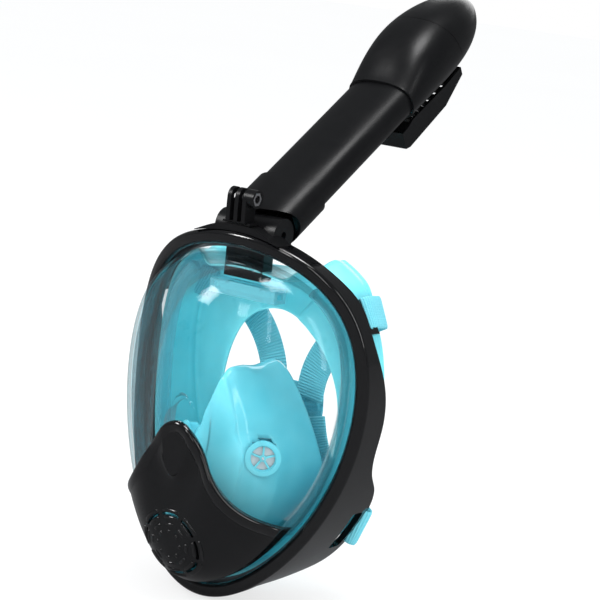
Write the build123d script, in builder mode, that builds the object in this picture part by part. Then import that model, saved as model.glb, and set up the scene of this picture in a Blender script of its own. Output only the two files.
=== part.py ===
from build123d import *
import math
import os

os.makedirs("parts", exist_ok=True)

# ---------------------------------------------------------------------------
# Full-face snorkel mask.  Millimetres, +Z up, the window looks along -Y and
# the wearer's left hand is +X.  The parts are drawn about the front rim: z = 0
# is the rim's lowest point and y = 0 the plane through its top and bottom.
# Finished pieces are carried to an origin under the middle of the whole mask.
# ---------------------------------------------------------------------------

# ---- driving dimensions ----
RIM_H = 240.0              # height of the front rim
RIM_W = 192.7              # width of the front rim
WRAP_R = 148.0             # radius the rim is wrapped to, seen from above
BEZEL_BAND = 9.0           # width of the glossy rim band
FRAME_WALL = 4.0           # wall of the rear frame
LENS_WALL = 2.2
TUBE_TILT = 31.84          # snorkel axis above horizontal, degrees
TUBE_A, TUBE_B = 24.2, 13.1        # half width and half depth of the tube
TUBE_WALL = 1.6
SLEEVE_A, SLEEVE_B = 26.0, 15.0
AXIS_Y, AXIS_Z = 21.24, 241.37     # foot of the snorkel axis
HINGE_Y, HINGE_Z = 17.3, 240.1     # fold axis of the snorkel
DRUM_R = 11.0
DRUM_HALF = 23.3
MOUNT_Y, MOUNT_Z = 1.0, 262.3      # bolt axis of the camera mount
PRONG = 3.0                # prong and gap of the camera mount
BOLT_R = 2.6               # bore for a 5 mm thumb screw
DATUM_Y = 102.163            # middle of the finished mask, front to back

T_Y, T_Z = math.cos(math.radians(TUBE_TILT)), math.sin(math.radians(TUBE_TILT))
DATUM = Location((0, -DATUM_Y, 0))


# ---- outline of the rim, offset by s along its own normal ----
def rim_point(a):
    c = math.cos(a)
    k = 1 + 0.21403 * c + 0.04988 * math.cos(2 * a) + 0.02373 * math.cos(3 * a) + 0.00079 * math.cos(4 * a)
    return RIM_W / 2 * math.sin(a) * k, RIM_H / 2 + RIM_H / 2 * c


def rim(s=0.0, n=24, dip=0.0, dip_half=27.0, dip_fade=16.0):
    pts = []
    for i in range(n):
        a = 2 * math.pi * i / n
        x, z = rim_point(a)
        x1, z1 = rim_point(a - 0.01)
        x2, z2 = rim_point(a + 0.01)
        tx, tz = x2 - x1, z2 - z1
        l = math.hypot(tx, tz)
        nx, nz = -tz / l, tx / l
        px, pz = x + s * nx, z + s * nz
        if dip and pz > RIM_H / 2:
            w = min(max((abs(px) - dip_half) / dip_fade, 0.0), 1.0)
            pz -= dip * (0.5 + 0.5 * math.cos(math.pi * w))
        pts.append((px, pz))
    return pts


def superellipse(a, b, n=2.7, count=40, cx=0.0, cy=0.0):
    pts = []
    for i in range(count):
        t = 2 * math.pi * i / count
        c, s = math.cos(t), math.sin(t)
        pts.append((cx + a * math.copysign(abs(c) ** (2 / n), c), cy + b * math.copysign(abs(s) ** (2 / n), s)))
    return pts


def front(y):
    """Plane facing forward at depth y: local x is X, local y is Z."""
    return Plane(origin=(0, y, 0), x_dir=(1, 0, 0), z_dir=(0, -1, 0))


def side(x):
    """Plane facing the wearer's left at x: local x is Y, local y is Z."""
    return Plane(origin=(x, 0, 0), x_dir=(0, 1, 0), z_dir=(1, 0, 0))


def tube_plane(length, back=0.0):
    """Plane across the snorkel, length along its axis: local y points back and down."""
    return Plane(origin=(0, AXIS_Y + length * T_Y + back * T_Z, AXIS_Z + length * T_Z - back * T_Y),
                 x_dir=(1, 0, 0), z_dir=(0, T_Y, T_Z))


def wrap_slab(c0, c1, half=110.0, z0=-20.0, z1=262.0):
    """Everything between the wrapped surface moved back by c0 and by c1."""
    def arc(c):
        return [(x, c + WRAP_R - math.sqrt(WRAP_R ** 2 - x ** 2)) for x in (-half, 0.0, half)]
    a, b = arc(c0), arc(c1)
    with BuildPart() as slab:
        with BuildSketch(Plane.XY.offset(z0)):
            with BuildLine():
                ThreePointArc(a[0], a[1], a[2])
                Line(a[2], b[2])
                ThreePointArc(b[2], b[1], b[0])
                Line(b[0], a[0])
            make_face()
        extrude(amount=z1 - z0)
    return slab.part


def band(s_out, s_in, c0, c1):
    """Rim-shaped band between two offsets of the outline, wrapped, c0 to c1 deep."""
    slab = wrap_slab(c0, c1)
    with BuildPart() as ring:
        with BuildSketch(front(110)):
            with BuildLine():
                Spline(*rim(s_out), periodic=True)
            make_face()
        extrude(amount=140)
        with BuildSketch(front(111)):
            with BuildLine():
                Spline(*rim(s_in), periodic=True)
            make_face()
        extrude(amount=142, mode=Mode.SUBTRACT)
        add(slab, mode=Mode.INTERSECT)
    return ring.part


def profile_prism(points, half=120.0, smooth=True):
    """Region of the side view, swept across the whole width."""
    with BuildPart() as prism:
        with BuildSketch(side(-half)):
            with BuildLine():
                if smooth:
                    curve = Spline(*points)
                    Line(curve @ 1, (points[-1][0] - 200.0, points[-1][1]))
                    Line((points[-1][0] - 200.0, points[-1][1]), (points[-1][0] - 200.0, points[0][1]))
                    Line((points[-1][0] - 200.0, points[0][1]), curve @ 0)
                else:
                    Polyline(*points, close=True)
            make_face()
        extrude(amount=2 * half)
    return prism.part


def box_between(lo, hi):
    with BuildPart() as block:
        with Locations([((lo[0] + hi[0]) / 2, (lo[1] + hi[1]) / 2, (lo[2] + hi[2]) / 2)]):
            Box(hi[0] - lo[0], hi[1] - lo[1], hi[2] - lo[2])
    return block.part


def rod(origin, direction, radius, length, x_dir=None):
    with BuildPart() as bar:
        with BuildSketch(Plane(origin=origin, x_dir=x_dir, z_dir=direction)):
            Circle(radius)
        extrude(amount=length)
    return bar.part


# ---------------------------------------------------------------------------
# Front rim, window and window seal
# ---------------------------------------------------------------------------
bezel_body = band(0.0, -BEZEL_BAND, -4.5, 5.0)
bezel_rebate = band(-3.3, -BEZEL_BAND - 6.0, 0.8, 9.0)
with BuildPart() as front_bezel:
    add(bezel_body)
    add(bezel_rebate, mode=Mode.SUBTRACT)
    front_face = front_bezel.faces().sort_by(Axis.Y)[0]
    fillet(front_face.edges(), radius=3.0)
front_bezel.part.label = "front_bezel"
front_bezel.part.move(DATUM)
export_step(front_bezel.part, "parts/front_bezel.step")

# window: an egg-shaped dome given as sections across Y:
# depth, half width of the egg, top and bottom
WINDOW = [(24.0, 81.6, 229.0, 11.0), (4.0, 79.0, 228.0, 12.4), (-8.0, 71.0, 226.0, 14.0), (-20.0, 60.0, 219.0, 19.0), (-31.0, 46.0, 206.0, 28.0),
          (-38.5, 26.0, 176.0, 50.0), (-41.2, 8.0, 140.0, 90.0)]


def window_body(k):
    """Solid window shape grown outwards by k."""
    base = rim(-10.6 + k)
    half = max(p[0] for p in base)
    top = max(p[1] for p in base)
    low = min(p[1] for p in base)
    with BuildPart() as body:
        with BuildSketch(front(40)):
            with BuildLine():
                Spline(*base, periodic=True)
            make_face()
        for y, a, zt, zb in WINDOW:
            sx = (a + k) / half
            sz = (zt - zb + 2 * k) / (top - low)
            with BuildSketch(front(y - k)):
                with BuildLine():
                    Spline(*[(x * sx, (z - low) * sz + zb - k) for x, z in base], periodic=True)
                make_face()
        loft()
    return body.part


CHIN_Z = 44.0                     # drain valve centre
window_outer = window_body(0.0)
window_inner = window_body(-LENS_WALL)
before_flange = wrap_slab(-90.0, 4.0)
lens_flange = band(-3.6, -12.6, 1.0, 4.0)
with BuildPart() as lens:
    add(window_outer)
    add(window_inner, mode=Mode.SUBTRACT)
    add(before_flange, mode=Mode.INTERSECT)
    add(lens_flange)
    with BuildSketch(front(0)):
        with Locations([(0, CHIN_Z)]):
            Circle(12.8)
    extrude(amount=60, mode=Mode.SUBTRACT)
lens.part.label = "lens"
lens.part.move(DATUM)
export_step(lens.part, "parts/lens.step")

seal_band = band(-4.9, -11.4, 4.2, 5.8)
with BuildPart() as lens_seal:
    add(seal_band)
lens_seal.part.label = "lens_seal"
lens_seal.part.move(DATUM)
export_step(lens_seal.part, "parts/lens_seal.step")

# ---------------------------------------------------------------------------
# Rear frame: a deep rim that follows the head, with lower wings for the straps
# ---------------------------------------------------------------------------
FRAME_REAR = [(15.2, 241.5), (18.5, 231.0), (26.0, 218.0), (32.5, 207.0), (36.0, 188.0), (42.0, 169.0),
              (49.0, 151.0), (52.0, 124.0), (51.0, 104.0), (56.0, 91.0), (66.0, 80.0), (71.0, 68.0), (71.6, 50.0),
              (71.6, 30.0), (69.0, 22.5), (54.0, 14.0), (38.0, 7.0), (24.0, 1.5), (15.0, -2.5)]
frame_tube = band(-0.6, -0.6 - FRAME_WALL, 5.2, 95.0)
frame_ledge = band(-1.0, -11.4, 6.0, 8.5)
frame_side = profile_prism(FRAME_REAR)
SCREW_X, SCREW_Y = 21.2, 11.6     # screws that hold the snorkel socket
with BuildPart() as frame_slot:
    with BuildSketch(Plane(origin=(50, 60.5, 56), x_dir=(0, 1, 0), z_dir=(0.933, 0, -0.36))):
        RectangleRounded(12.5, 31.0, 2.5)
    extrude(amount=40)
with BuildPart() as upper_lug:
    with BuildSketch(Plane(origin=(75.9, 34.5, 195.0), x_dir=(0.55, 0, -0.835), z_dir=(0, 1, 0))):
        Rectangle(24, 3.2)
    extrude(amount=13.5)
    with BuildSketch(Plane(origin=(68.0, 42.0, 189.8), x_dir=(0, 1, 0), z_dir=(0.835, 0, 0.55))):
        SlotOverall(17, 4.0, rotation=90)
    extrude(amount=20, mode=Mode.SUBTRACT)
slot_right = mirror(frame_slot.part, about=Plane.YZ)
lug_right = mirror(upper_lug.part, about=Plane.YZ)
with BuildPart() as rear_frame:
    add(frame_tube)
    add(frame_side, mode=Mode.INTERSECT)
    add(frame_ledge)
    add(upper_lug.part)
    add(lug_right)
    add(frame_slot.part, mode=Mode.SUBTRACT)
    add(slot_right, mode=Mode.SUBTRACT)
    with Locations([(0, 29.5, 235)]):
        Box(31.0, 41.0, 24.0, mode=Mode.SUBTRACT)          # notch for the air neck
    with Locations([(0, 33.5, 235)]):
        Box(38.6, 40.0, 24.0, mode=Mode.SUBTRACT)          # room for the hinge pins
    with Locations([(-SCREW_X, SCREW_Y, 236), (SCREW_X, SCREW_Y, 236)]):
        Cylinder(1.75, 16.0, mode=Mode.SUBTRACT)           # socket screws
    with Locations([(-SCREW_X, SCREW_Y, 230), (SCREW_X, SCREW_Y, 230)]):
        Cylinder(3.1, 7.8, mode=Mode.SUBTRACT)             # room for their heads
rear_frame.part.label = "rear_frame"
rear_frame.part.move(DATUM)
export_step(rear_frame.part, "parts/rear_frame.step")

# ---------------------------------------------------------------------------
# Face skirt: soft wall inside the frame with an inward sealing lip
# ---------------------------------------------------------------------------
SKIRT_REAR = [(62.0, 242.0), (63.0, 228.0), (65.0, 205.0), (69.0, 175.0), (73.0, 140.0), (75.0, 105.0), (75.0, 70.0),
              (73.0, 42.0), (66.0, 24.0), (54.0, 10.0), (44.0, 0.0)]
SKIRT_DIP = 13.0


def skirt_loft(s_front, s_rear):
    with BuildPart() as wall:
        with BuildSketch(front(0)):
            with BuildLine():
                Spline(*rim(s_front, n=44, dip=SKIRT_DIP), periodic=True)
            make_face()
        with BuildSketch(front(80)):
            with BuildLine():
                Spline(*rim(s_rear, n=44, dip=SKIRT_DIP), periodic=True)
            make_face()
        loft()
    return wall.part


skirt_outer = skirt_loft(-8.6, -16.0)
skirt_inner = skirt_loft(-11.0, -18.4)
skirt_keep = profile_prism(SKIRT_REAR)
skirt_lip_from = profile_prism([(y - 2.6, z) for y, z in SKIRT_REAR])
behind_ledge = wrap_slab(9.0, 130.0)
with BuildPart() as skirt_lip:
    add(skirt_outer)
    add(skirt_keep, mode=Mode.INTERSECT)
    add(skirt_lip_from, mode=Mode.SUBTRACT)
    with BuildSketch(front(100)):
        with Locations([(0, 112)]):
            Ellipse(47, 72)
    extrude(amount=100, mode=Mode.SUBTRACT)
with BuildPart() as face_skirt:
    add(skirt_outer)
    add(skirt_inner, mode=Mode.SUBTRACT)
    add(skirt_keep, mode=Mode.INTERSECT)
    add(behind_ledge, mode=Mode.INTERSECT)
    add(skirt_lip.part)
    with Locations([(0, 14.6, 215)]):
        Box(30.6, 12.6, 30.0, mode=Mode.SUBTRACT)          # opening under the air neck
face_skirt.part.label = "face_skirt"
face_skirt.part.move(DATUM)
export_step(face_skirt.part, "parts/face_skirt.step")

# exhaled air runs up both sides of the window in thin-walled channels
duct_outer = band(-15.6, -23.2, 10.0, 20.5)
duct_inner = band(-17.0, -21.8, 11.4, 19.1)


def duct(sign):
    lo, hi = (4.0, 120.0) if sign > 0 else (-120.0, -4.0)
    with BuildPart() as channel:
        add(duct_outer)
        add(duct_inner, mode=Mode.SUBTRACT)
        with Locations([((lo + hi) / 2, 40, 123)]):
            Box(hi - lo, 160, 140, mode=Mode.INTERSECT)
    return channel.part


left_channel = duct(1)
right_channel = duct(-1)
with BuildPart() as air_duct_left:
    add(left_channel)
air_duct_left.part.label = "air_duct_left"
air_duct_left.part.move(DATUM)
export_step(air_duct_left.part, "parts/air_duct_left.step")
with BuildPart() as air_duct_right:
    add(right_channel)
air_duct_right.part.label = "air_duct_right"
air_duct_right.part.move(DATUM)
export_step(air_duct_right.part, "parts/air_duct_right.step")

# manifold under the air neck, between the two channels
with BuildPart() as forehead_manifold:
    with Locations([(0, 17.0, 200.5)]):
        Box(52, 12.4, 9.0)
        Box(49, 9.4, 6.0, mode=Mode.SUBTRACT)
    with Locations([(0, 15.2, 205)]):
        Box(26, 7.0, 6.0, mode=Mode.SUBTRACT)
    with Locations([(0, 17.0, 200.5)]):
        Box(60, 7.0, 4.0, mode=Mode.SUBTRACT)
forehead_manifold.part.label = "forehead_manifold"
forehead_manifold.part.move(DATUM)
export_step(forehead_manifold.part, "parts/forehead_manifold.step")

# ---------------------------------------------------------------------------
# Nose and mouth pocket with its two inhale valves
# ---------------------------------------------------------------------------
POCKET = [(57.0, 90.0, 45.0, 60.0), (40.0, 90.0, 41.0, 58.0), (22.0, 91.0, 35.0, 55.0), (8.0, 94.0, 27.0, 49.0),
          (-2.0, 98.0, 16.0, 37.0)]      # depth, centre height, half width, half height


def pocket_loft(wall, extra):
    with BuildPart() as shape:
        for i, (y, zc, a, b) in enumerate(POCKET):
            yy = y + (extra if i == 0 else wall if i == len(POCKET) - 1 else 0)
            with BuildSketch(front(yy)):
                with BuildLine():
                    Spline(*superellipse(a - wall, b - wall, 2.2, 28, 0, zc), periodic=True)
                make_face()
        loft()
    return shape.part


VALVE_DIR = (0.62, -0.7846, 0.0)
VALVE_AT = (29.0, 12.0, 97.0)
pocket_out = pocket_loft(0.0, 0.0)
pocket_in = pocket_loft(2.4, 1.0)


def along(p, d, t):
    return (p[0] + d[0] * t, p[1] + d[1] * t, p[2] + d[2] * t)


def flip(p):
    return (-p[0], p[1], p[2])


valve_hole_l = rod(along(VALVE_AT, VALVE_DIR, -9), VALVE_DIR, 10.7, 24)
valve_hole_r = rod(along(flip(VALVE_AT), flip(VALVE_DIR), -9), flip(VALVE_DIR), 10.7, 24)
flange_room_l = rod(along(VALVE_AT, VALVE_DIR, 2.7), VALVE_DIR, 11.9, 12)
flange_room_r = rod(along(flip(VALVE_AT), flip(VALVE_DIR), 2.7), flip(VALVE_DIR), 11.9, 12)
chin_hole = rod((0, 30, CHIN_Z), (0, -1, 0), 12.7, 60)
with BuildPart() as nose_pocket:
    add(pocket_out)
    add(pocket_in, mode=Mode.SUBTRACT)
    add(valve_hole_l, mode=Mode.SUBTRACT)
    add(valve_hole_r, mode=Mode.SUBTRACT)
    add(flange_room_l, mode=Mode.SUBTRACT)
    add(flange_room_r, mode=Mode.SUBTRACT)
    add(chin_hole, mode=Mode.SUBTRACT)
nose_pocket.part.label = "nose_pocket"
nose_pocket.part.move(DATUM)
export_step(nose_pocket.part, "parts/nose_pocket.step")


def valve_seat(at, d):
    """Ring with six spokes and a centre boss, with a flange outside the pocket wall."""
    with BuildPart() as seat:
        with BuildSketch(Plane(origin=along(at, d, -3.0), x_dir=(0, 0, 1), z_dir=d)):
            Circle(10.5)
            Circle(8.6, mode=Mode.SUBTRACT)
        extrude(amount=6.0)
        with BuildSketch(Plane(origin=along(at, d, 1.4), x_dir=(0, 0, 1), z_dir=d)):
            Circle(9.2)
            Circle(7.8, mode=Mode.SUBTRACT)
            Circle(2.2)
            with PolarLocations(0, 5):
                with Locations([(4.6, 0)]):
                    Rectangle(8.0, 1.3)
            Circle(0.9, mode=Mode.SUBTRACT)
        extrude(amount=1.5)
        with BuildSketch(Plane(origin=along(at, d, 3.0), x_dir=(0, 0, 1), z_dir=d)):
            Circle(11.6)
            Circle(8.6, mode=Mode.SUBTRACT)
        extrude(amount=1.2)
    return seat.part


def valve_flap(at, d, radius, gap, thick=0.8):
    """Thin silicone disc with a stub that passes through the seat's centre."""
    with BuildPart() as flap:
        with BuildSketch(Plane(origin=along(at, d, gap - thick), x_dir=(0, 0, 1), z_dir=d)):
            Circle(radius)
        extrude(amount=thick)
        with BuildSketch(Plane(origin=along(at, d, gap), x_dir=(0, 0, 1), z_dir=d)):
            Circle(0.8)
        extrude(amount=4.4)
    return flap.part


seat_l = valve_seat(VALVE_AT, VALVE_DIR)
seat_r = valve_seat(flip(VALVE_AT), flip(VALVE_DIR))
flap_l = valve_flap(VALVE_AT, VALVE_DIR, 8.3, 1.35)
flap_r = valve_flap(flip(VALVE_AT), flip(VALVE_DIR), 8.3, 1.35)
with BuildPart() as inhale_seat_left:
    add(seat_l)
inhale_seat_left.part.label = "inhale_seat_left"
inhale_seat_left.part.move(DATUM)
export_step(inhale_seat_left.part, "parts/inhale_seat_left.step")
with BuildPart() as inhale_seat_right:
    add(seat_r)
inhale_seat_right.part.label = "inhale_seat_right"
inhale_seat_right.part.move(DATUM)
export_step(inhale_seat_right.part, "parts/inhale_seat_right.step")
with BuildPart() as inhale_flap_left:
    add(flap_l)
inhale_flap_left.part.label = "inhale_flap_left"
inhale_flap_left.part.move(DATUM)
export_step(inhale_flap_left.part, "parts/inhale_flap_left.step")
with BuildPart() as inhale_flap_right:
    add(flap_r)
inhale_flap_right.part.label = "inhale_flap_right"
inhale_flap_right.part.move(DATUM)
export_step(inhale_flap_right.part, "parts/inhale_flap_right.step")

# ---------------------------------------------------------------------------
# Chin drain valve and its cover
# ---------------------------------------------------------------------------
with BuildPart() as chin_valve_seat:
    with BuildSketch(front(14.0)):
        with Locations([(0, CHIN_Z)]):
            Circle(12.4)
            Circle(10.4, mode=Mode.SUBTRACT)
    extrude(amount=37.0)                                   # y = 14 to -23
    with BuildSketch(front(-20.5)):
        with Locations([(0, CHIN_Z)]):
            Circle(11.0)
            Circle(9.6, mode=Mode.SUBTRACT)
            Circle(2.4)
            with PolarLocations(0, 6):
                with Locations([(5.6, 0)]):
                    Rectangle(9.6, 1.4)
            Circle(0.9, mode=Mode.SUBTRACT)
    extrude(amount=1.8)
chin_valve_seat.part.label = "chin_valve_seat"
chin_valve_seat.part.move(DATUM)
export_step(chin_valve_seat.part, "parts/chin_valve_seat.step")

with BuildPart() as drain_flap:
    with BuildSketch(front(-22.45)):
        with Locations([(0, CHIN_Z)]):
            Circle(10.1)
    extrude(amount=0.9)
    with BuildSketch(front(-18.5)):
        with Locations([(0, CHIN_Z)]):
            Circle(0.8)
    extrude(amount=4.0)
drain_flap.part.label = "drain_flap"
drain_flap.part.move(DATUM)
export_step(drain_flap.part, "parts/drain_flap.step")

cover_outer = window_body(3.2)
cover_inner = window_body(0.3)
cover_hollow = window_body(1.9)
COVER_LINE = [(0, 122.0), (7.0, 119.5), (14.5, 112.0), (22.0, 100.0), (30.0, 87.0), (39.0, 75.5), (49.0, 66.5),
              (60.5, 59.0)]
with BuildPart() as cover_room:
    add(cover_hollow)
    with BuildSketch(front(0)):
        with Locations([(0, CHIN_Z)]):
            Circle(15.0)
    extrude(amount=60, mode=Mode.INTERSECT)
cover_front = wrap_slab(-90.0, -5.3)
cover_low = [p for p in rim(-12.4, n=44) if p[1] < 52]
cover_low_sorted = sorted(cover_low, key=lambda p: -p[0])
with BuildPart() as chin_cover:
    with BuildSketch(front(20)):
        with BuildLine():
            right_edge = Spline(*COVER_LINE)
            left_edge = Spline(*[(-x, z) for x, z in COVER_LINE])
            low = Spline((60.5, 59.0), *cover_low_sorted, (-60.5, 59.0))
        make_face()
    extrude(amount=80)
    add(cover_outer, mode=Mode.INTERSECT)
    add(cover_front, mode=Mode.INTERSECT)
    add(cover_inner, mode=Mode.SUBTRACT)
    add(cover_room.part, mode=Mode.SUBTRACT)
    with BuildSketch(front(0)):
        with Locations([(0, 41)]):
            for radius in (6.5, 11.0, 15.5, 20.0):
                Circle(radius + 0.75)
                Circle(radius - 0.75, mode=Mode.SUBTRACT)
            with PolarLocations(0, 8, start_angle=22.5):
                with Locations([(14, 0)]):
                    Rectangle(20, 2.6, mode=Mode.SUBTRACT)
    extrude(amount=80, mode=Mode.SUBTRACT)
chin_cover.part.label = "chin_cover"
chin_cover.part.move(DATUM)
export_step(chin_cover.part, "parts/chin_cover.step")

# ---------------------------------------------------------------------------
# Snorkel socket: fairing on the crown of the frame, hollow hinge drum, air neck
# ---------------------------------------------------------------------------
with BuildPart() as crown_prism:
    with BuildSketch(front(13.8)):
        with BuildLine():
            Spline(*rim(0.25), periodic=True)
        make_face()
    extrude(amount=40)
with BuildPart() as crown_sides:
    with BuildSketch(front(19.2)):
        with BuildLine():
            Spline(*rim(0.25), periodic=True)
        make_face()
    extrude(amount=8)
    with Locations([(0, 15, 235)]):
        Box(38.0, 20, 40, mode=Mode.SUBTRACT)
FAIRING = [(-33, 236.3), (-27, 238.9), (-20, 241.8), (-13, 243.9), (0, 244.7), (13, 243.9), (20, 241.8), (27, 238.9),
           (33, 236.3)]
hinge_window = [(HINGE_Y, HINGE_Z)]
for k in range(9):
    ang = math.radians(TUBE_TILT + 37 - k * (40 + 74) / 8)
    hinge_window.append((HINGE_Y + 14 * math.cos(ang), HINGE_Z + 14 * math.sin(ang)))
neck_outer = box_between((-15.0, 10.0, 209.0), (15.0, 20.4, 236.0))
neck_hole = box_between((-12.6, 12.0, 205.0), (12.6, 18.4, 238.0))
drum = rod((-DRUM_HALF, HINGE_Y, HINGE_Z), (1, 0, 0), DRUM_R, 2 * DRUM_HALF)
drum_bore = rod((-13.3, HINGE_Y, HINGE_Z), (1, 0, 0), 8.2, 26.6)
pin_hole = rod((-DRUM_HALF - 1, HINGE_Y, HINGE_Z), (1, 0, 0), 2.55, 2 * DRUM_HALF + 2)
with BuildPart() as window_cut:
    with BuildSketch(side(-10.6)):
        with BuildLine():
            Polyline(*hinge_window, close=True)
        make_face()
    extrude(amount=21.2)
with BuildPart() as snorkel_socket:
    with BuildSketch(front(13.4)):
        with BuildLine():
            Spline(*FAIRING)
            Line((33, 236.3), (33, 225))
            Line((33, 225), (-33, 225))
            Line((-33, 225), (-33, 236.3))
        make_face()
    extrude(amount=15.9)                                   # y = 13.4 to -2.5
    add(drum)
    add(crown_prism.part, mode=Mode.SUBTRACT)
    add(crown_sides.part, mode=Mode.SUBTRACT)
    add(neck_outer)
    add(drum_bore, mode=Mode.SUBTRACT)
    add(pin_hole, mode=Mode.SUBTRACT)
    add(window_cut.part, mode=Mode.SUBTRACT)
    add(neck_hole, mode=Mode.SUBTRACT)
    with Locations([(-SCREW_X, SCREW_Y, 238), (SCREW_X, SCREW_Y, 238)]):
        Cylinder(1.25, 12.0, mode=Mode.SUBTRACT)
snorkel_socket.part.label = "snorkel_socket"
snorkel_socket.part.move(DATUM)
export_step(snorkel_socket.part, "parts/snorkel_socket.step")

with BuildPart() as socket_screws:
    with Locations([(-SCREW_X, SCREW_Y, 238.2), (SCREW_X, SCREW_Y, 238.2)]):
        Cylinder(1.5, 10.0)
    with Locations([(-SCREW_X, SCREW_Y, 232.3), (SCREW_X, SCREW_Y, 232.3)]):
        Cylinder(2.75, 2.0)
    with Locations([(-SCREW_X, SCREW_Y, 231.6), (SCREW_X, SCREW_Y, 231.6)]):
        Box(0.8, 4.2, 0.8, mode=Mode.SUBTRACT)
socket_screws.part.label = "socket_screws"
socket_screws.part.move(DATUM)
export_step(socket_screws.part, "parts/socket_screws.step")

# ---------------------------------------------------------------------------
# Camera mount: three prongs with a captive nut
# ---------------------------------------------------------------------------
MOUNT_X0 = -2.5 * PRONG
with BuildPart() as camera_mount:
    with BuildSketch(side(MOUNT_X0)):
        with BuildLine():
            Polyline((-5.0, 258.0), (-4.6, 246.5), (-2.4, 245.2), (5.2, 245.2), (5.6, 249.0), (6.9, 262.3))
            ThreePointArc((6.9, 262.3), (1.0, 268.2), (-4.9, 262.3))
            Line((-4.9, 262.3), (-5.0, 258.0))
        make_face()
    extrude(amount=5 * PRONG)
    with Locations([(-PRONG, 1.0, 259.5), (PRONG, 1.0, 259.5)]):
        Box(PRONG + 0.1, 30, 25.0, mode=Mode.SUBTRACT)
    with Locations([(0, 1.2, 245.9)]):
        Box(21.0, 8.4, 1.6)
    with BuildSketch(side(2.5 * PRONG)):
        with Locations([(MOUNT_Y, MOUNT_Z)]):
            Circle(5.9)
    extrude(amount=4.6)
    with BuildSketch(side(2.5 * PRONG + 0.9)):
        with Locations([(MOUNT_Y, MOUNT_Z)]):
            RegularPolygon(4.72, 6)
    extrude(amount=6.0, mode=Mode.SUBTRACT)
    with BuildSketch(side(-20)):
        with Locations([(MOUNT_Y, MOUNT_Z)]):
            Circle(BOLT_R)
    extrude(amount=40, mode=Mode.SUBTRACT)
camera_mount.part.label = "camera_mount"
camera_mount.part.move(DATUM)
export_step(camera_mount.part, "parts/camera_mount.step")

with BuildPart() as mount_nut:
    with BuildSketch(side(2.5 * PRONG + 1.0)):
        with Locations([(MOUNT_Y, MOUNT_Z)]):
            RegularPolygon(4.62, 6)
            Circle(BOLT_R, mode=Mode.SUBTRACT)
    extrude(amount=3.3)
mount_nut.part.label = "mount_nut"
mount_nut.part.move(DATUM)
export_step(mount_nut.part, "parts/mount_nut.step")

# ---------------------------------------------------------------------------
# Snorkel: hinged sleeve, tube, float head
# ---------------------------------------------------------------------------


def oval_prism(a, b, l0, l1, back=0.0, n=2.7):
    with BuildPart() as prism:
        with BuildSketch(tube_plane(l0)):
            with BuildLine():
                Spline(*superellipse(a, b, n, 40, 0, back), periodic=True)
            make_face()
        extrude(amount=l1 - l0)
    return prism.part


SEAM_L = 39.4                  # joint between sleeve and tube
HINGE_L = -4.0                 # hinge axis measured along the snorkel axis
sleeve_out = oval_prism(SLEEVE_A, SLEEVE_B, -22.0, SEAM_L)
sleeve_in = oval_prism(SLEEVE_A - 1.65, SLEEVE_B - 1.65, -23.0, SEAM_L + 1.0)
bulkhead = oval_prism(SLEEVE_A - 1.0, SLEEVE_B - 1.0, 12.0, 14.4)
cut_round = rod((-40, HINGE_Y, HINGE_Z), (1, 0, 0), 15.0, 80)
with BuildPart() as cut_foot:
    with BuildSketch(tube_plane(HINGE_L + 8.0)):
        with Locations([(0, 12.5)]):
            Rectangle(80, 25)
    extrude(amount=-40)
    with BuildSketch(tube_plane(HINGE_L + 4.0)):
        with Locations([(0, -15)]):
            Rectangle(80, 40)
    extrude(amount=-40)
knuckle = rod((-13.0, HINGE_Y, HINGE_Z), (1, 0, 0), 8.0, 26.0)
with BuildPart() as neck_link:
    with BuildSketch(tube_plane(HINGE_L + 1.0)):
        with Locations([(0, -1.0)]):
            Rectangle(20.0, 8.6)
    extrude(amount=16.0)
with BuildPart() as neck_link_hole:
    with BuildSketch(tube_plane(HINGE_L + 1.0)):
        with Locations([(0, -1.0)]):
            Rectangle(16.4, 5.4)
    extrude(amount=20.0)
knuckle_bore = rod((-10.0, HINGE_Y, HINGE_Z), (1, 0, 0), 6.2, 20.0)
knuckle_low = box_between((-8.6, HINGE_Y - 5.0, HINGE_Z - 12.0), (8.6, HINGE_Y + 5.0, HINGE_Z))
pin_seat = rod((-14.0, HINGE_Y, HINGE_Z), (1, 0, 0), 2.5, 28.0)
with BuildPart() as sleeve_slots:
    with BuildSketch(tube_plane(10.0)):
        with Locations([(-16.5, 0), (16.5, 0)]):
            SlotOverall(17.0, 7.0, rotation=90)
    extrude(amount=6.0)
with BuildPart() as connector_sleeve:
    add(sleeve_out)
    add(sleeve_in, mode=Mode.SUBTRACT)
    add(cut_round, mode=Mode.SUBTRACT)
    add(cut_foot.part, mode=Mode.SUBTRACT)
    add(bulkhead)
    add(neck_link.part)
    add(knuckle)
    add(neck_link_hole.part, mode=Mode.SUBTRACT)
    add(knuckle_bore, mode=Mode.SUBTRACT)
    add(knuckle_low, mode=Mode.SUBTRACT)
    add(pin_seat, mode=Mode.SUBTRACT)
    add(sleeve_slots.part, mode=Mode.SUBTRACT)
connector_sleeve.part.label = "connector_sleeve"
connector_sleeve.part.move(DATUM)
export_step(connector_sleeve.part, "parts/connector_sleeve.step")

with BuildPart() as hinge_pins:
    with BuildSketch(side(10.4)):
        with Locations([(HINGE_Y, HINGE_Z)]):
            Circle(2.5)
    extrude(amount=8.6)
    with BuildSketch(side(-19.0)):
        with Locations([(HINGE_Y, HINGE_Z)]):
            Circle(2.5)
    extrude(amount=8.6)
hinge_pins.part.label = "hinge_pins"
hinge_pins.part.move(DATUM)
export_step(hinge_pins.part, "parts/hinge_pins.step")

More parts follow.
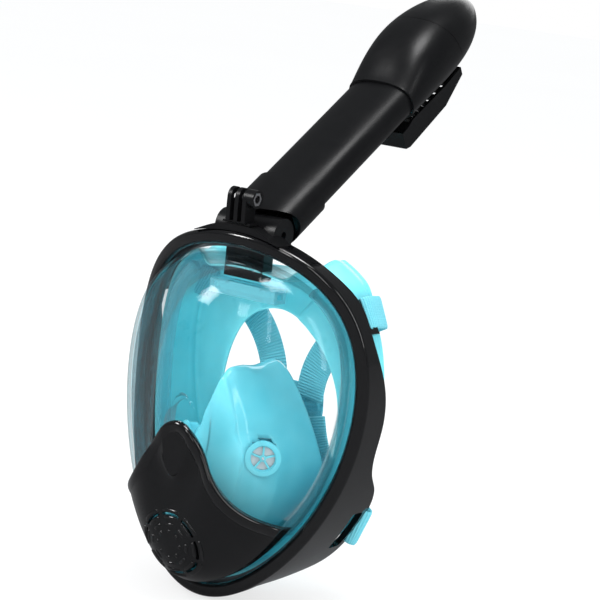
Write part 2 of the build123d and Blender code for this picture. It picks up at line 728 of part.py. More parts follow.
gasket_out = oval_prism(TUBE_A - 0.1, TUBE_B - 0.1, 14.5, 16.3)
gasket_in = oval_prism(TUBE_A - 1.9, TUBE_B - 1.9, 14.0, 17.0)
with BuildPart() as tube_gasket:
    add(gasket_out)
    add(gasket_in, mode=Mode.SUBTRACT)
tube_gasket.part.label = "tube_gasket"
tube_gasket.part.move(DATUM)
export_step(tube_gasket.part, "parts/tube_gasket.step")

TUBE_END = 160.0
tube_out = oval_prism(TUBE_A, TUBE_B, 16.5, TUBE_END)
tube_in = oval_prism(TUBE_A - TUBE_WALL, TUBE_B - TUBE_WALL, 16.0, TUBE_END + 1)
with BuildPart() as tube_ribs:
    with BuildSketch(tube_plane(17.0)):
        with Locations([(-10.5, 0), (10.5, 0)]):
            Rectangle(1.2, 2 * TUBE_B - 1.4)
    extrude(amount=TUBE_END - 18.0)
with BuildPart() as snorkel_tube:
    add(tube_out)
    add(tube_in, mode=Mode.SUBTRACT)
    add(tube_ribs.part)
snorkel_tube.part.label = "snorkel_tube"
snorkel_tube.part.move(DATUM)
export_step(snorkel_tube.part, "parts/snorkel_tube.step")

# head sections: length, half width, half depth, centre depth
HEAD = [(152.0, 26.0, 15.2, 0.0), (162.0, 26.8, 18.0, -2.0), (178.0, 27.6, 22.0, -5.0), (196.0, 27.9, 24.2, -6.6),
        (213.0, 27.2, 24.0, -6.6), (230.0, 25.0, 22.0, -6.0), (245.0, 21.0, 18.6, -5.4), (256.0, 16.0, 14.2, -4.8),
        (263.0, 11.0, 9.8, -4.4), (267.5, 5.2, 4.6, -4.2)]


def head_body(k, l_start=None):
    with BuildPart() as shape:
        for i, (ln, a, b, c) in enumerate(HEAD):
            if i == 0 and l_start is not None:
                ln = l_start
            if i == len(HEAD) - 1:
                ln -= k
            with BuildSketch(tube_plane(ln)):
                with BuildLine():
                    Spline(*superellipse(max(a - k, 1.5), max(b - k, 1.2), 2.35, 36, 0, c), periodic=True)
                make_face()
        loft()
    return shape.part


head_out = head_body(0.0)
head_in = head_body(2.0, 151.0)
SEAM_FRONT = (208.0, -31.0)
SEAM_BACK = (223.0, 20.0)


def seam_half(shift, upper):
    """Half space above or below the tilted seam of the head."""
    l0, b0 = SEAM_FRONT
    l1, b1 = SEAM_BACK
    pts = []
    for ln, bk in ((l0 - 9 + shift, b0 - 30), (l1 + 9 + shift, b1 + 30)):
        pts.append((AXIS_Y + ln * T_Y + bk * T_Z, AXIS_Z + ln * T_Z - bk * T_Y))
    reach = 130 if upper else -130
    far = [(p[0] + reach * T_Y, p[1] + reach * T_Z) for p in pts]
    with BuildPart() as half:
        with BuildSketch(side(-60)):
            with BuildLine():
                Polyline(pts[0], pts[1], far[1], far[0], close=True)
            make_face()
        extrude(amount=120)
    return half.part


seam_above = seam_half(0.15, True)
seam_below = seam_half(-0.15, False)
with BuildPart() as head_socket:
    with BuildSketch(tube_plane(151.0)):
        with BuildLine():
            Spline(*superellipse(TUBE_A + 0.15, TUBE_B + 0.15, 2.7, 40), periodic=True)
        make_face()
    extrude(amount=9.2)
with BuildPart() as head_collar:
    with BuildSketch(tube_plane(152.0)):
        with BuildLine():
            Spline(*superellipse(25.6, 14.8, 2.7, 40), periodic=True)
        make_face()
    extrude(amount=10.0)
with BuildPart() as head_ports:
    with BuildSketch(tube_plane(158.0)):
        with Locations([(0, 0)]):
            RectangleRounded(16.0, 16.0, 3.0)
        with Locations([(-17.0, 0), (17.0, 0)]):
            RectangleRounded(8.0, 13.0, 2.5)
    extrude(amount=6.0)
# mouth behind the grille
with BuildPart() as intake_mouth:
    with BuildSketch(Plane(origin=(0, AXIS_Y + 187 * T_Y, AXIS_Z + 187 * T_Z), x_dir=(1, 0, 0), z_dir=(0, T_Z, -T_Y))):
        RectangleRounded(25.0, 44.0, 4.0)
    extrude(amount=40.0)
with BuildPart() as head_lower_shell:
    add(head_out)
    add(head_in, mode=Mode.SUBTRACT)
    add(head_collar.part)
    add(head_socket.part, mode=Mode.SUBTRACT)
    add(head_ports.part, mode=Mode.SUBTRACT)
    add(intake_mouth.part, mode=Mode.SUBTRACT)
    add(seam_below, mode=Mode.INTERSECT)
head_lower_shell.part.label = "head_lower_shell"
head_lower_shell.part.move(DATUM)
export_step(head_lower_shell.part, "parts/head_lower_shell.step")

with BuildPart() as head_cap:
    add(head_out)
    add(head_in, mode=Mode.SUBTRACT)
    add(seam_above, mode=Mode.INTERSECT)
head_cap.part.label = "head_cap"
head_cap.part.move(DATUM)
export_step(head_cap.part, "parts/head_cap.step")

# rear grille: a hood with cross slots and a hooked lip at its lower end
GRILLE = [(146.0, 21.5), (146.0, 34.0), (151.0, 35.5), (200.0, 33.5), (226.0, 24.0), (226.0, 18.0), (205.0, 19.6),
          (160.0, 19.0), (154.0, 21.0)]


def side_points(pairs):
    return [(AXIS_Y + ln * T_Y + bk * T_Z, AXIS_Z + ln * T_Z - bk * T_Y) for ln, bk in pairs]


with BuildPart() as grille_block:
    with BuildSketch(side(-16.5)):
        with BuildLine():
            Polyline(*side_points(GRILLE), close=True)
        make_face()
    extrude(amount=33.0)
with BuildPart() as grille_room:
    with BuildSketch(side(-14.4)):
        with BuildLine():
            Polyline(*side_points([(157.0, 10.0), (157.0, 32.6), (200.0, 31.2), (221.0, 23.6), (221.0, 10.0)]), close=True)
        make_face()
    extrude(amount=28.8)
head_keepout = head_body(-0.25, 152.0)
with BuildPart() as grille_slots:
    for k in range(9):
        with BuildSketch(Plane(origin=(0, AXIS_Y + (162 + 6.4 * k) * T_Y, AXIS_Z + (162 + 6.4 * k) * T_Z),
                               x_dir=(1, 0, 0), z_dir=(0, T_Z, -T_Y))):
            SlotOverall(25.0, 3.0)
        extrude(amount=45.0)
with BuildPart() as rear_grille:
    add(grille_block.part)
    add(grille_room.part, mode=Mode.SUBTRACT)
    add(grille_slots.part, mode=Mode.SUBTRACT)
    add(head_keepout, mode=Mode.SUBTRACT)
rear_grille.part.label = "rear_grille"
rear_grille.part.move(DATUM)
export_step(rear_grille.part, "parts/rear_grille.step")

# dry-top float: a hollow block that slides on a guide rod and shuts the intake
with BuildPart() as float_cage:
    with BuildSketch(tube_plane(166.0)):
        with Locations([(0, -5.4)]):
            RectangleRounded(38.0, 25.0, 9.0)
            RectangleRounded(32.0, 20.0, 6.0, mode=Mode.SUBTRACT)
    extrude(amount=2.2)
    with BuildSketch(tube_plane(166.0)):
        with Locations([(-17.6, -5.6), (17.6, -5.6)]):
            Rectangle(2.0, 10.0)
    extrude(amount=38.0)
    with BuildSketch(tube_plane(203.0)):
        with Locations([(0, -6.0)]):
            RectangleRounded(38.0, 26.0, 9.0)
            Circle(8.0, mode=Mode.SUBTRACT)
    extrude(amount=2.0)
    with BuildSketch(tube_plane(203.2)):
        with Locations([(0, -6.0)]):
            Rectangle(18.0, 2.4)
            Rectangle(2.4, 18.0)
    extrude(amount=1.6)
    with BuildSketch(tube_plane(166.2)):
        with Locations([(0, -6.0)]):
            Rectangle(34.0, 2.6)
    extrude(amount=1.8)
    with BuildSketch(tube_plane(164.0)):
        with Locations([(0, -6.0)]):
            Circle(1.5)
    extrude(amount=42.0, mode=Mode.SUBTRACT)
float_cage.part.label = "float_cage"
float_cage.part.move(DATUM)
export_step(float_cage.part, "parts/float_cage.step")

with BuildPart() as float_rod:
    with BuildSketch(tube_plane(165.6)):
        with Locations([(0, -6.0)]):
            Circle(1.5)
    extrude(amount=39.6)
float_rod.part.label = "float_rod"
float_rod.part.move(DATUM)
export_step(float_rod.part, "parts/float_rod.step")

with BuildPart() as float_body:
    with BuildSketch(tube_plane(170.0)):
        with Locations([(0, -6.0)]):
            RectangleRounded(30.0, 18.0, 5.0)
            Circle(1.7, mode=Mode.SUBTRACT)
    extrude(amount=20.0)
float_body.part.label = "float_body"
float_body.part.move(DATUM)
export_step(float_body.part, "parts/float_body.step")

with BuildPart() as float_seal:
    with BuildSketch(tube_plane(190.0)):
        with Locations([(0, -6.0)]):
            Circle(9.4)
            Circle(1.8, mode=Mode.SUBTRACT)
    extrude(amount=2.4)
float_seal.part.label = "float_seal"
float_seal.part.move(DATUM)
export_step(float_seal.part, "parts/float_seal.step")

# ---------------------------------------------------------------------------
# Head harness: two upper straps, two lower straps and the pad that joins them
# ---------------------------------------------------------------------------


def strap(centre_line, half_width, depth_of, x0, x1, thick=2.0):
    """Flat webbing: its front view is a band round centre_line, its plan a thin curve."""
    steps = 16
    xs = [x0 + (x1 - x0) * i / steps for i in range(steps + 1)]
    near = [(x, depth_of(x)) for x in xs]
    far = [(x, depth_of(x) + thick) for x in reversed(xs)]
    left, right = [], []
    for i, (x, z) in enumerate(centre_line):
        xa, za = centre_line[max(i - 1, 0)]
        xb, zb = centre_line[min(i + 1, len(centre_line) - 1)]
        l = math.hypot(xb - xa, zb - za)
        nx, nz = -(zb - za) / l, (xb - xa) / l
        left.append((x + nx * half_width, z + nz * half_width))
        right.append((x - nx * half_width, z - nz * half_width))
    with BuildPart() as web:
        with BuildSketch(Plane.XY):
            with BuildLine():
                Spline(*near)
                Line(near[-1], far[0])
                Spline(*far)
                Line(far[-1], near[0])
            make_face()
        extrude(amount=260)
        with BuildSketch(front(140)):
            with BuildLine():
                Spline(*left)
                Line(left[-1], right[-1])
                Spline(*reversed(right))
                Line(right[0], left[0])
            make_face()
        extrude(amount=140, mode=Mode.INTERSECT)
    return web.part


UPPER_LINE = [(75.0, 197.0), (60.0, 190.0), (42.0, 178.0), (26.0, 161.0), (17.0, 142.0), (14.5, 124.0)]
LOWER_LINE = [(15.5, 112.0), (19.5, 97.0), (27.5, 80.0), (38.0, 66.5), (48.0, 58.6), (60.0, 53.4)]


def upper_depth(x):
    return 79.3 - 36.0 * (max(abs(x) - 62.5, 0.0) / 16.0) ** 2


def lower_depth(x):
    return 79.3 - 11.0 * (max(abs(x) - 54.2, 0.0) / 11.5) ** 2


upper_l = strap(UPPER_LINE, 11.0, upper_depth, 0.0, 76.4)
lower_l = strap(LOWER_LINE, 14.0, lower_depth, 0.0, 70.0)
upper_r = mirror(upper_l, about=Plane.YZ)
lower_r = mirror(lower_l, about=Plane.YZ)
with BuildPart() as upper_strap_left:
    add(upper_l)
upper_strap_left.part.label = "upper_strap_left"
upper_strap_left.part.move(DATUM)
export_step(upper_strap_left.part, "parts/upper_strap_left.step")
with BuildPart() as upper_strap_right:
    add(upper_r)
upper_strap_right.part.label = "upper_strap_right"
upper_strap_right.part.move(DATUM)
export_step(upper_strap_right.part, "parts/upper_strap_right.step")
with BuildPart() as lower_strap_left:
    add(lower_l)
lower_strap_left.part.label = "lower_strap_left"
lower_strap_left.part.move(DATUM)
export_step(lower_strap_left.part, "parts/lower_strap_left.step")
with BuildPart() as lower_strap_right:
    add(lower_r)
lower_strap_right.part.label = "lower_strap_right"
lower_strap_right.part.move(DATUM)
export_step(lower_strap_right.part, "parts/lower_strap_right.step")

with BuildPart() as head_pad:
    with BuildSketch(front(86.0)):
        with Locations([(0, 117.0)]):
            RectangleRounded(50.0, 34.0, 9.0)
    extrude(amount=4.4)
    fillet(head_pad.edges().filter_by(Plane.XZ), radius=1.2)
head_pad.part.label = "head_pad"
head_pad.part.move(DATUM)
export_step(head_pad.part, "parts/head_pad.step")
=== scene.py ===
import math
import bmesh
import bpy
import numpy as np
from mathutils import Matrix, Vector


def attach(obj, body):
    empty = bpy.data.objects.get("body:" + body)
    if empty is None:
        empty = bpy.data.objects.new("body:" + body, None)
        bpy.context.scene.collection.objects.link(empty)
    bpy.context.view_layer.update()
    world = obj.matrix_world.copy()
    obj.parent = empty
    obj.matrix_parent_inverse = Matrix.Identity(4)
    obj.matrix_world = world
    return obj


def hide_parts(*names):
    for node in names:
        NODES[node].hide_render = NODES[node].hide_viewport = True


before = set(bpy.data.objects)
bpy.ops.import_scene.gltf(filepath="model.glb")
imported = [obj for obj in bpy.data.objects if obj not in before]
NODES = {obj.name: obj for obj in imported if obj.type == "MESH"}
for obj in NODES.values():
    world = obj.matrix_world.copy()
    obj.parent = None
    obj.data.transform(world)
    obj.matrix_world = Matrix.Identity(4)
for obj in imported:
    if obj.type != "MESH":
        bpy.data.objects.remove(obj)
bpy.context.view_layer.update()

scene = bpy.context.scene
DATUM_Y = 102.163          # the shapes below are worked out about the rim, in mm
WRAP_R = 148.0


# ---------------------------------------------------------------------------
# Node materials
# ---------------------------------------------------------------------------
class Mat:
    """A procedural material: a Principled shader with helpers for the maps that drive it."""

    def __init__(self, name, color, rough=0.4, metallic=0.0, ior=1.45, coat=0.0, subsurface=0.0, spec=0.5):
        self.mat = bpy.data.materials.new(name)
        self.mat.use_nodes = True
        self.nt = self.mat.node_tree
        self.nt.nodes.clear()
        self.out = self.nt.nodes.new("ShaderNodeOutputMaterial")
        self.b = self.nt.nodes.new("ShaderNodeBsdfPrincipled")
        self.nt.links.new(self.b.outputs[0], self.out.inputs["Surface"])
        self.b.inputs["Base Color"].default_value = (*color, 1)
        self.b.inputs["Roughness"].default_value = rough
        self.b.inputs["Metallic"].default_value = metallic
        self.b.inputs["IOR"].default_value = ior
        self.b.inputs["Coat Weight"].default_value = coat
        self.b.inputs["Coat Roughness"].default_value = 0.06
        self.b.inputs["Specular IOR Level"].default_value = spec
        if subsurface:
            self.b.inputs["Subsurface Weight"].default_value = subsurface
            self.b.inputs["Subsurface Radius"].default_value = (0.006, 0.009, 0.010)
            self.b.inputs["Subsurface Scale"].default_value = 0.6
        self.coord = self.nt.nodes.new("ShaderNodeTexCoord")

    def node(self, kind, **values):
        n = self.nt.nodes.new(kind)
        for k, v in values.items():
            n.inputs[k].default_value = v
        return n

    def link(self, a, b):
        self.nt.links.new(a, b)

    def noise(self, scale, detail=4.0, rough=0.55, coord="Object"):
        n = self.node("ShaderNodeTexNoise", Scale=scale, Detail=detail, Roughness=rough)
        self.link(self.coord.outputs[coord], n.inputs["Vector"])
        return n.outputs[0]

    def span(self, value, low, high, a=0.0, b=1.0):
        n = self.nt.nodes.new("ShaderNodeMapRange")
        n.inputs["From Min"].default_value = a
        n.inputs["From Max"].default_value = b
        n.inputs["To Min"].default_value = low
        n.inputs["To Max"].default_value = high
        self.link(value, n.inputs["Value"])
        return n.outputs[0]

    def mix(self, fac, ca, cb):
        n = self.nt.nodes.new("ShaderNodeMix")
        n.data_type = "RGBA"
        n.inputs[6].default_value = (*ca, 1)
        n.inputs[7].default_value = (*cb, 1)
        self.link(fac, n.inputs[0])
        return n.outputs[2]

    def math(self, op, a, b=None, c=None):
        n = self.nt.nodes.new("ShaderNodeMath")
        n.operation = op
        for i, v in enumerate((a, b, c)):
            if v is None:
                continue
            if isinstance(v, (int, float)):
                n.inputs[i].default_value = v
            else:
                self.link(v, n.inputs[i])
        return n.outputs[0]

    def bump(self, height, strength=0.2, distance=0.0002):
        n = self.node("ShaderNodeBump", Strength=strength, Distance=distance)
        self.link(height, n.inputs["Height"])
        self.link(n.outputs[0], self.b.inputs["Normal"])

    def rough(self, value):
        self.link(value, self.b.inputs["Roughness"])

    def color(self, value):
        self.link(value, self.b.inputs["Base Color"])


def plastic(name, ca, cb, r0, r1, grain, strength, coat=0.0, spec=0.5):
    m = Mat(name, ca, rough=r0, coat=coat, spec=spec)
    m.color(m.mix(m.noise(90.0, 5.0), ca, cb))
    m.rough(m.span(m.noise(35.0, 6.0), r0, r1, 0.3, 0.7))
    m.bump(m.noise(grain, 3.0), strength, 0.0001)
    return m.mat


def silicone(name, ca, cb, r0, r1, sub=0.15, strength=0.12):
    m = Mat(name, ca, rough=r0, subsurface=sub, ior=1.41)
    low = m.noise(22.0, 4.0)
    m.color(m.mix(m.span(low, 0.0, 1.0, 0.35, 0.65), ca, cb))
    m.rough(m.span(m.noise(60.0, 5.0), r0, r1, 0.3, 0.7))
    m.bump(m.noise(900.0, 3.0), strength, 0.0001)
    return m.mat


def see_through(name, tint, base, r0, r1, share, edge):
    """Thin clear skin: sight passes through, edges and highlights stay."""
    m = Mat(name, base, rough=r0, ior=1.45, spec=0.6)
    m.rough(m.span(m.noise(45.0, 5.0), r0, r1, 0.3, 0.7))
    clear = m.nt.nodes.new("ShaderNodeBsdfTransparent")
    clear.inputs["Color"].default_value = (*tint, 1)
    lw = m.node("ShaderNodeLayerWeight", Blend=0.35)
    smear = m.span(m.noise(14.0, 4.0), 0.0, 0.02, 0.35, 0.75)
    fac = m.math("ADD", m.span(lw.outputs["Facing"], share, edge, 0.0, 1.0), smear)
    mixer = m.nt.nodes.new("ShaderNodeMixShader")
    m.link(fac, mixer.inputs[0])
    m.link(clear.outputs[0], mixer.inputs[1])
    m.link(m.b.outputs[0], mixer.inputs[2])
    m.link(mixer.outputs[0], m.out.inputs["Surface"])
    m.bump(m.noise(120.0, 3.0), 0.03, 0.0001)
    return m.mat


def lens_material():
    """Clear window: mirror by Fresnel, otherwise open, with a faint cool edge."""
    m = Mat("clear_window", (0.9, 0.95, 0.97), rough=0.03, metallic=1.0)
    m.rough(m.span(m.noise(30.0, 6.0), 0.02, 0.06, 0.35, 0.7))
    clear = m.nt.nodes.new("ShaderNodeBsdfTransparent")
    lw = m.node("ShaderNodeLayerWeight", Blend=0.5)
    tint = m.mix(m.span(lw.outputs["Facing"], 0.0, 1.0, 0.2, 1.0), (0.992, 0.997, 0.998), (0.84, 0.93, 0.95))
    m.link(tint, clear.inputs["Color"])
    fr = m.node("ShaderNodeFresnel", IOR=1.33)
    fac = m.math("ADD", m.math("MULTIPLY", fr.outputs[0], 0.42), m.span(m.noise(18.0, 5.0), 0.0, 0.012, 0.4, 0.8))
    mixer = m.nt.nodes.new("ShaderNodeMixShader")
    m.link(fac, mixer.inputs[0])
    m.link(clear.outputs[0], mixer.inputs[1])
    m.link(m.b.outputs[0], mixer.inputs[2])
    m.link(mixer.outputs[0], m.out.inputs["Surface"])
    return m.mat


def webbing_material():
    """Flat ribbed webbing: warp ribs along the strap and fine cross picks, from the strap's own UVs in mm."""
    ca, cb = (0.10, 0.46, 0.56), (0.20, 0.60, 0.70)
    m = Mat("teal_webbing", ca, rough=0.75, spec=0.25)
    sep = m.nt.nodes.new("ShaderNodeSeparateXYZ")
    m.link(m.coord.outputs["UV"], sep.inputs[0])
    u, v = sep.outputs[0], sep.outputs[1]
    ribs = m.math("SINE", m.math("MULTIPLY", v, 2 * math.pi / 1.9))
    warp = m.math("SINE", m.math("MULTIPLY", u, 2 * math.pi / 1.1))
    weave = m.math("MULTIPLY_ADD", warp, 0.35, ribs)
    height = m.math("ADD", m.math("MULTIPLY", weave, 0.5), m.math("MULTIPLY", m.noise(1500.0, 2.0), 0.5))
    # colour follows the weave height: painted shade darkens the grooves between ribs, while the fine fibre noise in
    # the height gives random tone
    m.color(m.mix(m.span(height, 0.0, 1.0, -0.6, 1.2), ca, cb))
    m.rough(m.span(m.noise(400.0, 3.0), 0.62, 0.88, 0.3, 0.7))
    m.bump(height, 0.75, 0.0006)
    return m.mat


def pad_material():
    ca, cb = (0.09, 0.42, 0.52), (0.16, 0.52, 0.62)
    m = Mat("pad_fabric", ca, rough=0.8, spec=0.2)
    vor = m.node("ShaderNodeTexVoronoi", Scale=900.0)
    m.link(m.coord.outputs["Object"], vor.inputs["Vector"])
    m.color(m.mix(m.span(vor.outputs["Distance"], 0.0, 1.0, 0.0, 0.7), cb, ca))
    m.rough(m.span(m.noise(300.0), 0.7, 0.92, 0.3, 0.7))
    m.bump(vor.outputs["Distance"], 0.6, 0.0003)
    return m.mat


def steel_material():
    m = Mat("stainless_steel", (0.55, 0.56, 0.58), rough=0.28, metallic=1.0)
    stretch = m.nt.nodes.new("ShaderNodeMapping")
    stretch.inputs["Scale"].default_value = (60.0, 1400.0, 1400.0)
    m.link(m.coord.outputs["Object"], stretch.inputs["Vector"])
    n = m.node("ShaderNodeTexNoise", Scale=1.0, Detail=3.0)
    m.link(stretch.outputs[0], n.inputs["Vector"])
    m.rough(m.span(n.outputs[0], 0.18, 0.42, 0.3, 0.7))
    m.color(m.mix(m.noise(200.0), (0.50, 0.51, 0.53), (0.62, 0.63, 0.65)))
    m.bump(n.outputs[0], 0.08, 0.0001)
    return m.mat


def foam_material():
    m = Mat("float_foam", (0.62, 0.64, 0.65), rough=0.8, spec=0.2)
    vor = m.node("ShaderNodeTexVoronoi", Scale=700.0)
    m.link(m.coord.outputs["Object"], vor.inputs["Vector"])
    # painted shade: the sunken cell centres of the bump are coloured darker, the raised cell borders lighter
    m.color(m.mix(m.span(vor.outputs["Distance"], 0.0, 1.0, 0.1, 0.7), (0.46, 0.48, 0.50), (0.72, 0.74, 0.75)))
    m.rough(m.span(m.noise(300.0), 0.7, 0.95, 0.3, 0.7))
    m.bump(vor.outputs["Distance"], 0.5, 0.0004)
    return m.mat


GLOSS = plastic("gloss_black", (0.0018, 0.0019, 0.0023), (0.003, 0.0031, 0.0036), 0.06, 0.12, 700.0, 0.015, coat=0.5, spec=0.5)
SATIN = plastic("satin_black", (0.0025, 0.0026, 0.0031), (0.0045, 0.0047, 0.0053), 0.27, 0.38, 1500.0, 0.08, spec=0.30)
COVER = plastic("satin_cover", (0.0022, 0.0023, 0.0027), (0.0038, 0.004, 0.0045), 0.14, 0.22, 1800.0, 0.03, coat=0.25, spec=0.40)
TEAL = silicone("teal_silicone", (0.15, 0.60, 0.68), (0.22, 0.68, 0.75), 0.26, 0.38, 0.35)
TEAL_GLOSS = silicone("teal_gloss_silicone", (0.12, 0.54, 0.65), (0.18, 0.62, 0.72), 0.08, 0.15, 0.2, 0.05)
SEAL = silicone("seal_silicone", (0.03, 0.035, 0.04), (0.05, 0.055, 0.06), 0.45, 0.6, 0.0)
FLAP = silicone("flap_silicone", (0.45, 0.50, 0.52), (0.55, 0.60, 0.62), 0.32, 0.45, 0.2)
CLEAR_TEAL = see_through("clear_teal", (0.72, 0.93, 0.95), (0.25, 0.62, 0.70), 0.12, 0.24, 0.22, 0.75)
LENS = lens_material()
WEB = webbing_material()
PAD = pad_material()
STEEL = steel_material()
FOAM = foam_material()


# ---------------------------------------------------------------------------
# Mesh helpers, in mm about the rim
# ---------------------------------------------------------------------------
def finish_piece(ob, mat, body, nodes=()):
    ob.data.materials.clear()
    ob.data.materials.append(mat)
    for p in ob.data.polygons:
        p.use_smooth = True
    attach(ob, body)
    if nodes:
        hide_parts(*nodes)
    return ob


def to_object(name, verts, faces, uvs=None):
    me = bpy.data.meshes.new(name)
    v = np.asarray(verts, float).copy()
    v[:, 1] -= DATUM_Y
    me.from_pydata((v / 1000.0).tolist(), [], [list(map(int, f)) for f in faces])
    me.update()
    if uvs is not None:
        layer = me.uv_layers.new(name="UVMap")
        for loop in me.loops:
            layer.data[loop.index].uv = uvs[loop.vertex_index]
    bm = bmesh.new()
    bm.from_mesh(me)
    bmesh.ops.recalc_face_normals(bm, faces=bm.faces)
    bm.to_mesh(me)
    bm.free()
    ob = bpy.data.objects.new(name, me)
    scene.collection.objects.link(ob)
    return ob


def grid_faces(nu, nv, close_u=False, close_v=False, base=0):
    faces = []
    for i in range(nu if close_u else nu - 1):
        for j in range(nv if close_v else nv - 1):
            a, b = i * nv + j, ((i + 1) % nu) * nv + j
            c, d = ((i + 1) % nu) * nv + (j + 1) % nv, i * nv + (j + 1) % nv
            faces.append((a + base, b + base, c + base, d + base))
    return faces


def rim_angles(n):
    return np.linspace(0, 2 * math.pi, n, endpoint=False)


def rim_xz(a, s=0.0):
    def pt(t):
        c = np.cos(t)
        k = 1 + 0.21403 * c + 0.04988 * np.cos(2 * t) + 0.02373 * np.cos(3 * t) + 0.00079 * np.cos(4 * t)
        return 96.35 * np.sin(t) * k, 120 + 120 * c
    x, z = pt(a)
    x1, z1 = pt(a - 0.01)
    x2, z2 = pt(a + 0.01)
    tx, tz = x2 - x1, z2 - z1
    l = np.hypot(tx, tz)
    return x - s * tz / l, z + s * tx / l


def wrap(x):
    return WRAP_R - np.sqrt(WRAP_R ** 2 - np.clip(x, -140, 140) ** 2)


def smooth(t):
    t = np.clip(t, 0, 1)
    return t * t * (3 - 2 * t)


def ring_sweep(name, s_mid, y_mid, profile, n=220, a0=None, a1=None):
    """Carries a closed profile of (ds, dy) round the rim."""
    closed = a0 is None
    a = rim_angles(n) if closed else np.linspace(a0, a1, n)
    m = len(profile)
    pts = np.zeros((n, m, 3))
    for j, (ds, dy) in enumerate(profile):
        x, z = rim_xz(a, s_mid + ds)
        x0, _ = rim_xz(a, s_mid)
        pts[:, j] = np.stack([x, wrap(x0) + y_mid + dy, z], 1)
    faces = grid_faces(n, m, closed, True)
    if not closed:
        faces += [tuple(range(m)), tuple((n - 1) * m + j for j in range(m))]
    return to_object(name, pts.reshape(-1, 3), faces)


def oval(a, b, n=2.4, count=28):
    t = np.linspace(0, 2 * math.pi, count, endpoint=False)
    c, s = np.cos(t), np.sin(t)
    return list(zip(a * np.sign(c) * np.abs(c) ** (2 / n), b * np.sign(s) * np.abs(s) ** (2 / n)))


def lathe(name, at, direction, profile, count=48):
    """Turns (along, radius) pairs about a line; the profile is a closed loop or starts and ends on the line."""
    d = np.array(direction, float)
    d /= np.linalg.norm(d)
    e = np.cross(d, (0, 0, 1.0) if abs(d[2]) < 0.9 else (1.0, 0, 0))
    e /= np.linalg.norm(e)
    f = np.cross(d, e)
    t = np.linspace(0, 2 * math.pi, count, endpoint=False)
    pts = np.zeros((count, len(profile), 3))
    for j, (h, r) in enumerate(profile):
        pts[:, j] = np.array(at) + h * d + r * (np.outer(np.cos(t), e) + np.outer(np.sin(t), f))
    return to_object(name, pts.reshape(-1, 3), grid_faces(count, len(profile), True, False))


T = np.array([0, math.cos(math.radians(31.84)), math.sin(math.radians(31.84))])
B = np.array([0, T[2], -T[1]])
FOOT = np.array([0, 21.24, 241.37])


def on_tube(length, x, back):
    return FOOT + T * length + B * back + np.array([x, 0, 0])


def tube_stack(name, rows, n=2.6, count=56, cap=True):
    """Closed skin through rows of (length, half width, half depth, centre)."""
    pts = []
    for ln, a, b, c in rows:
        for x, y in oval(a, b, n, count):
            pts.append(on_tube(ln, x, y + c))
    faces = grid_faces(len(rows), count, False, True)
    if cap:
        faces += [tuple(range(count)), tuple((len(rows) - 1) * count + j for j in range(count))]
    return to_object(name, pts, faces)


# ---------------------------------------------------------------------------
# Soft parts, each modelled in place of its CAD solid
# ---------------------------------------------------------------------------
SKIRT_REAR = [(62.0, 242.0), (63.0, 228.0), (65.0, 205.0), (69.0, 175.0), (73.0, 140.0), (75.0, 105.0), (75.0, 70.0),
              (73.0, 42.0), (66.0, 24.0), (54.0, 10.0), (44.0, 0.0)]


def skirt_rear_y(z):
    zs = np.array([p[1] for p in SKIRT_REAR])[::-1]
    ys = np.array([p[0] for p in SKIRT_REAR])[::-1]
    return np.interp(z, zs, ys)


def skirt_point(a, s, dip=13.0):
    x, z = rim_xz(a, s)
    w = np.clip((np.abs(x) - 27.0) / 16.0, 0, 1)
    drop = np.where(z > 120, dip * (0.5 + 0.5 * np.cos(math.pi * w)), 0.0)
    return x, z - drop


def make_skirt():
    n = 288
    a = rim_angles(n)
    rows = []
    x_r, z_r = skirt_point(a, -15.9)
    y_r = skirt_rear_y(z_r)
    # the upper corners flare out behind the frame
    flare = 7.6 * smooth((z_r - 190.0) / 18.0) * smooth((np.abs(x_r) - 27.0) / 11.0)
    # side wall, front to rear, with a soft fold ahead of the rear edge
    x_f, z_f = skirt_point(a, -9.4)
    y_f = wrap(x_f) + 9.2
    for t in np.linspace(0, 1, 22):
        s = -9.4 - 6.0 * (y_f + (y_r - y_f) * t) / 80.0
        s = s - 0.9 * np.exp(-((t - 0.93) / 0.05) ** 2)
        s = s + flare * float(smooth((t - 0.35) / 0.5))
        x, z = skirt_point(a, s)
        rows.append(np.stack([x, y_f + (y_r - 3.0 - y_f) * t, z], 1))
    # rounded rear edge
    phi_c = np.stack([np.zeros(n), np.zeros(n), np.full(n, 112.0)], 1)
    edge = rows[-1]
    inward = phi_c - edge
    inward[:, 1] = 0
    inward /= np.linalg.norm(inward, axis=1)[:, None]
    for k in range(1, 8):
        ang = math.pi / 2 * k / 7
        p = edge + inward * 4.6 * (1 - math.cos(ang))
        p[:, 1] = edge[:, 1] + 4.6 * math.sin(ang) * 0.9
        rows.append(p)
    # lip: runs in to the face opening and curls forward at its free edge
    start = rows[-1]
    phi = np.arctan2(start[:, 2] - 112.0, start[:, 0])
    end = np.stack([47.5 * np.cos(phi), start[:, 1], 112.0 + 72.0 * np.sin(phi)], 1)
    for t in np.linspace(0.08, 1, 16):
        p = start + (end - start) * t
        p[:, 1] = start[:, 1] + 0.8 * math.sin(math.pi * min(t * 1.2, 1)) - 8.5 * t ** 2.2
        rows.append(p)
    pts = np.stack(rows, 1)
    ob = to_object("face_skirt_soft", pts.reshape(-1, 3), grid_faces(n, len(rows), True, False))
    sol = ob.modifiers.new("wall", "SOLIDIFY")
    sol.thickness = 0.0018
    sol.offset = -1.0
    bev = ob.modifiers.new("smooth", "SUBSURF")
    bev.levels = bev.render_levels = 1
    return finish_piece(ob, TEAL, "mask", ["face_skirt"])


POCKET = [(57.0, 90.0, 45.0, 60.0), (40.0, 90.0, 41.0, 58.0), (22.0, 91.0, 35.0, 55.0), (8.0, 94.0, 27.0, 49.0),
          (-2.0, 98.0, 16.0, 37.0)]
VALVE_DIR = np.array([0.62, -0.7846, 0.0])
VALVE_AT = np.array([29.0, 12.0, 97.0])


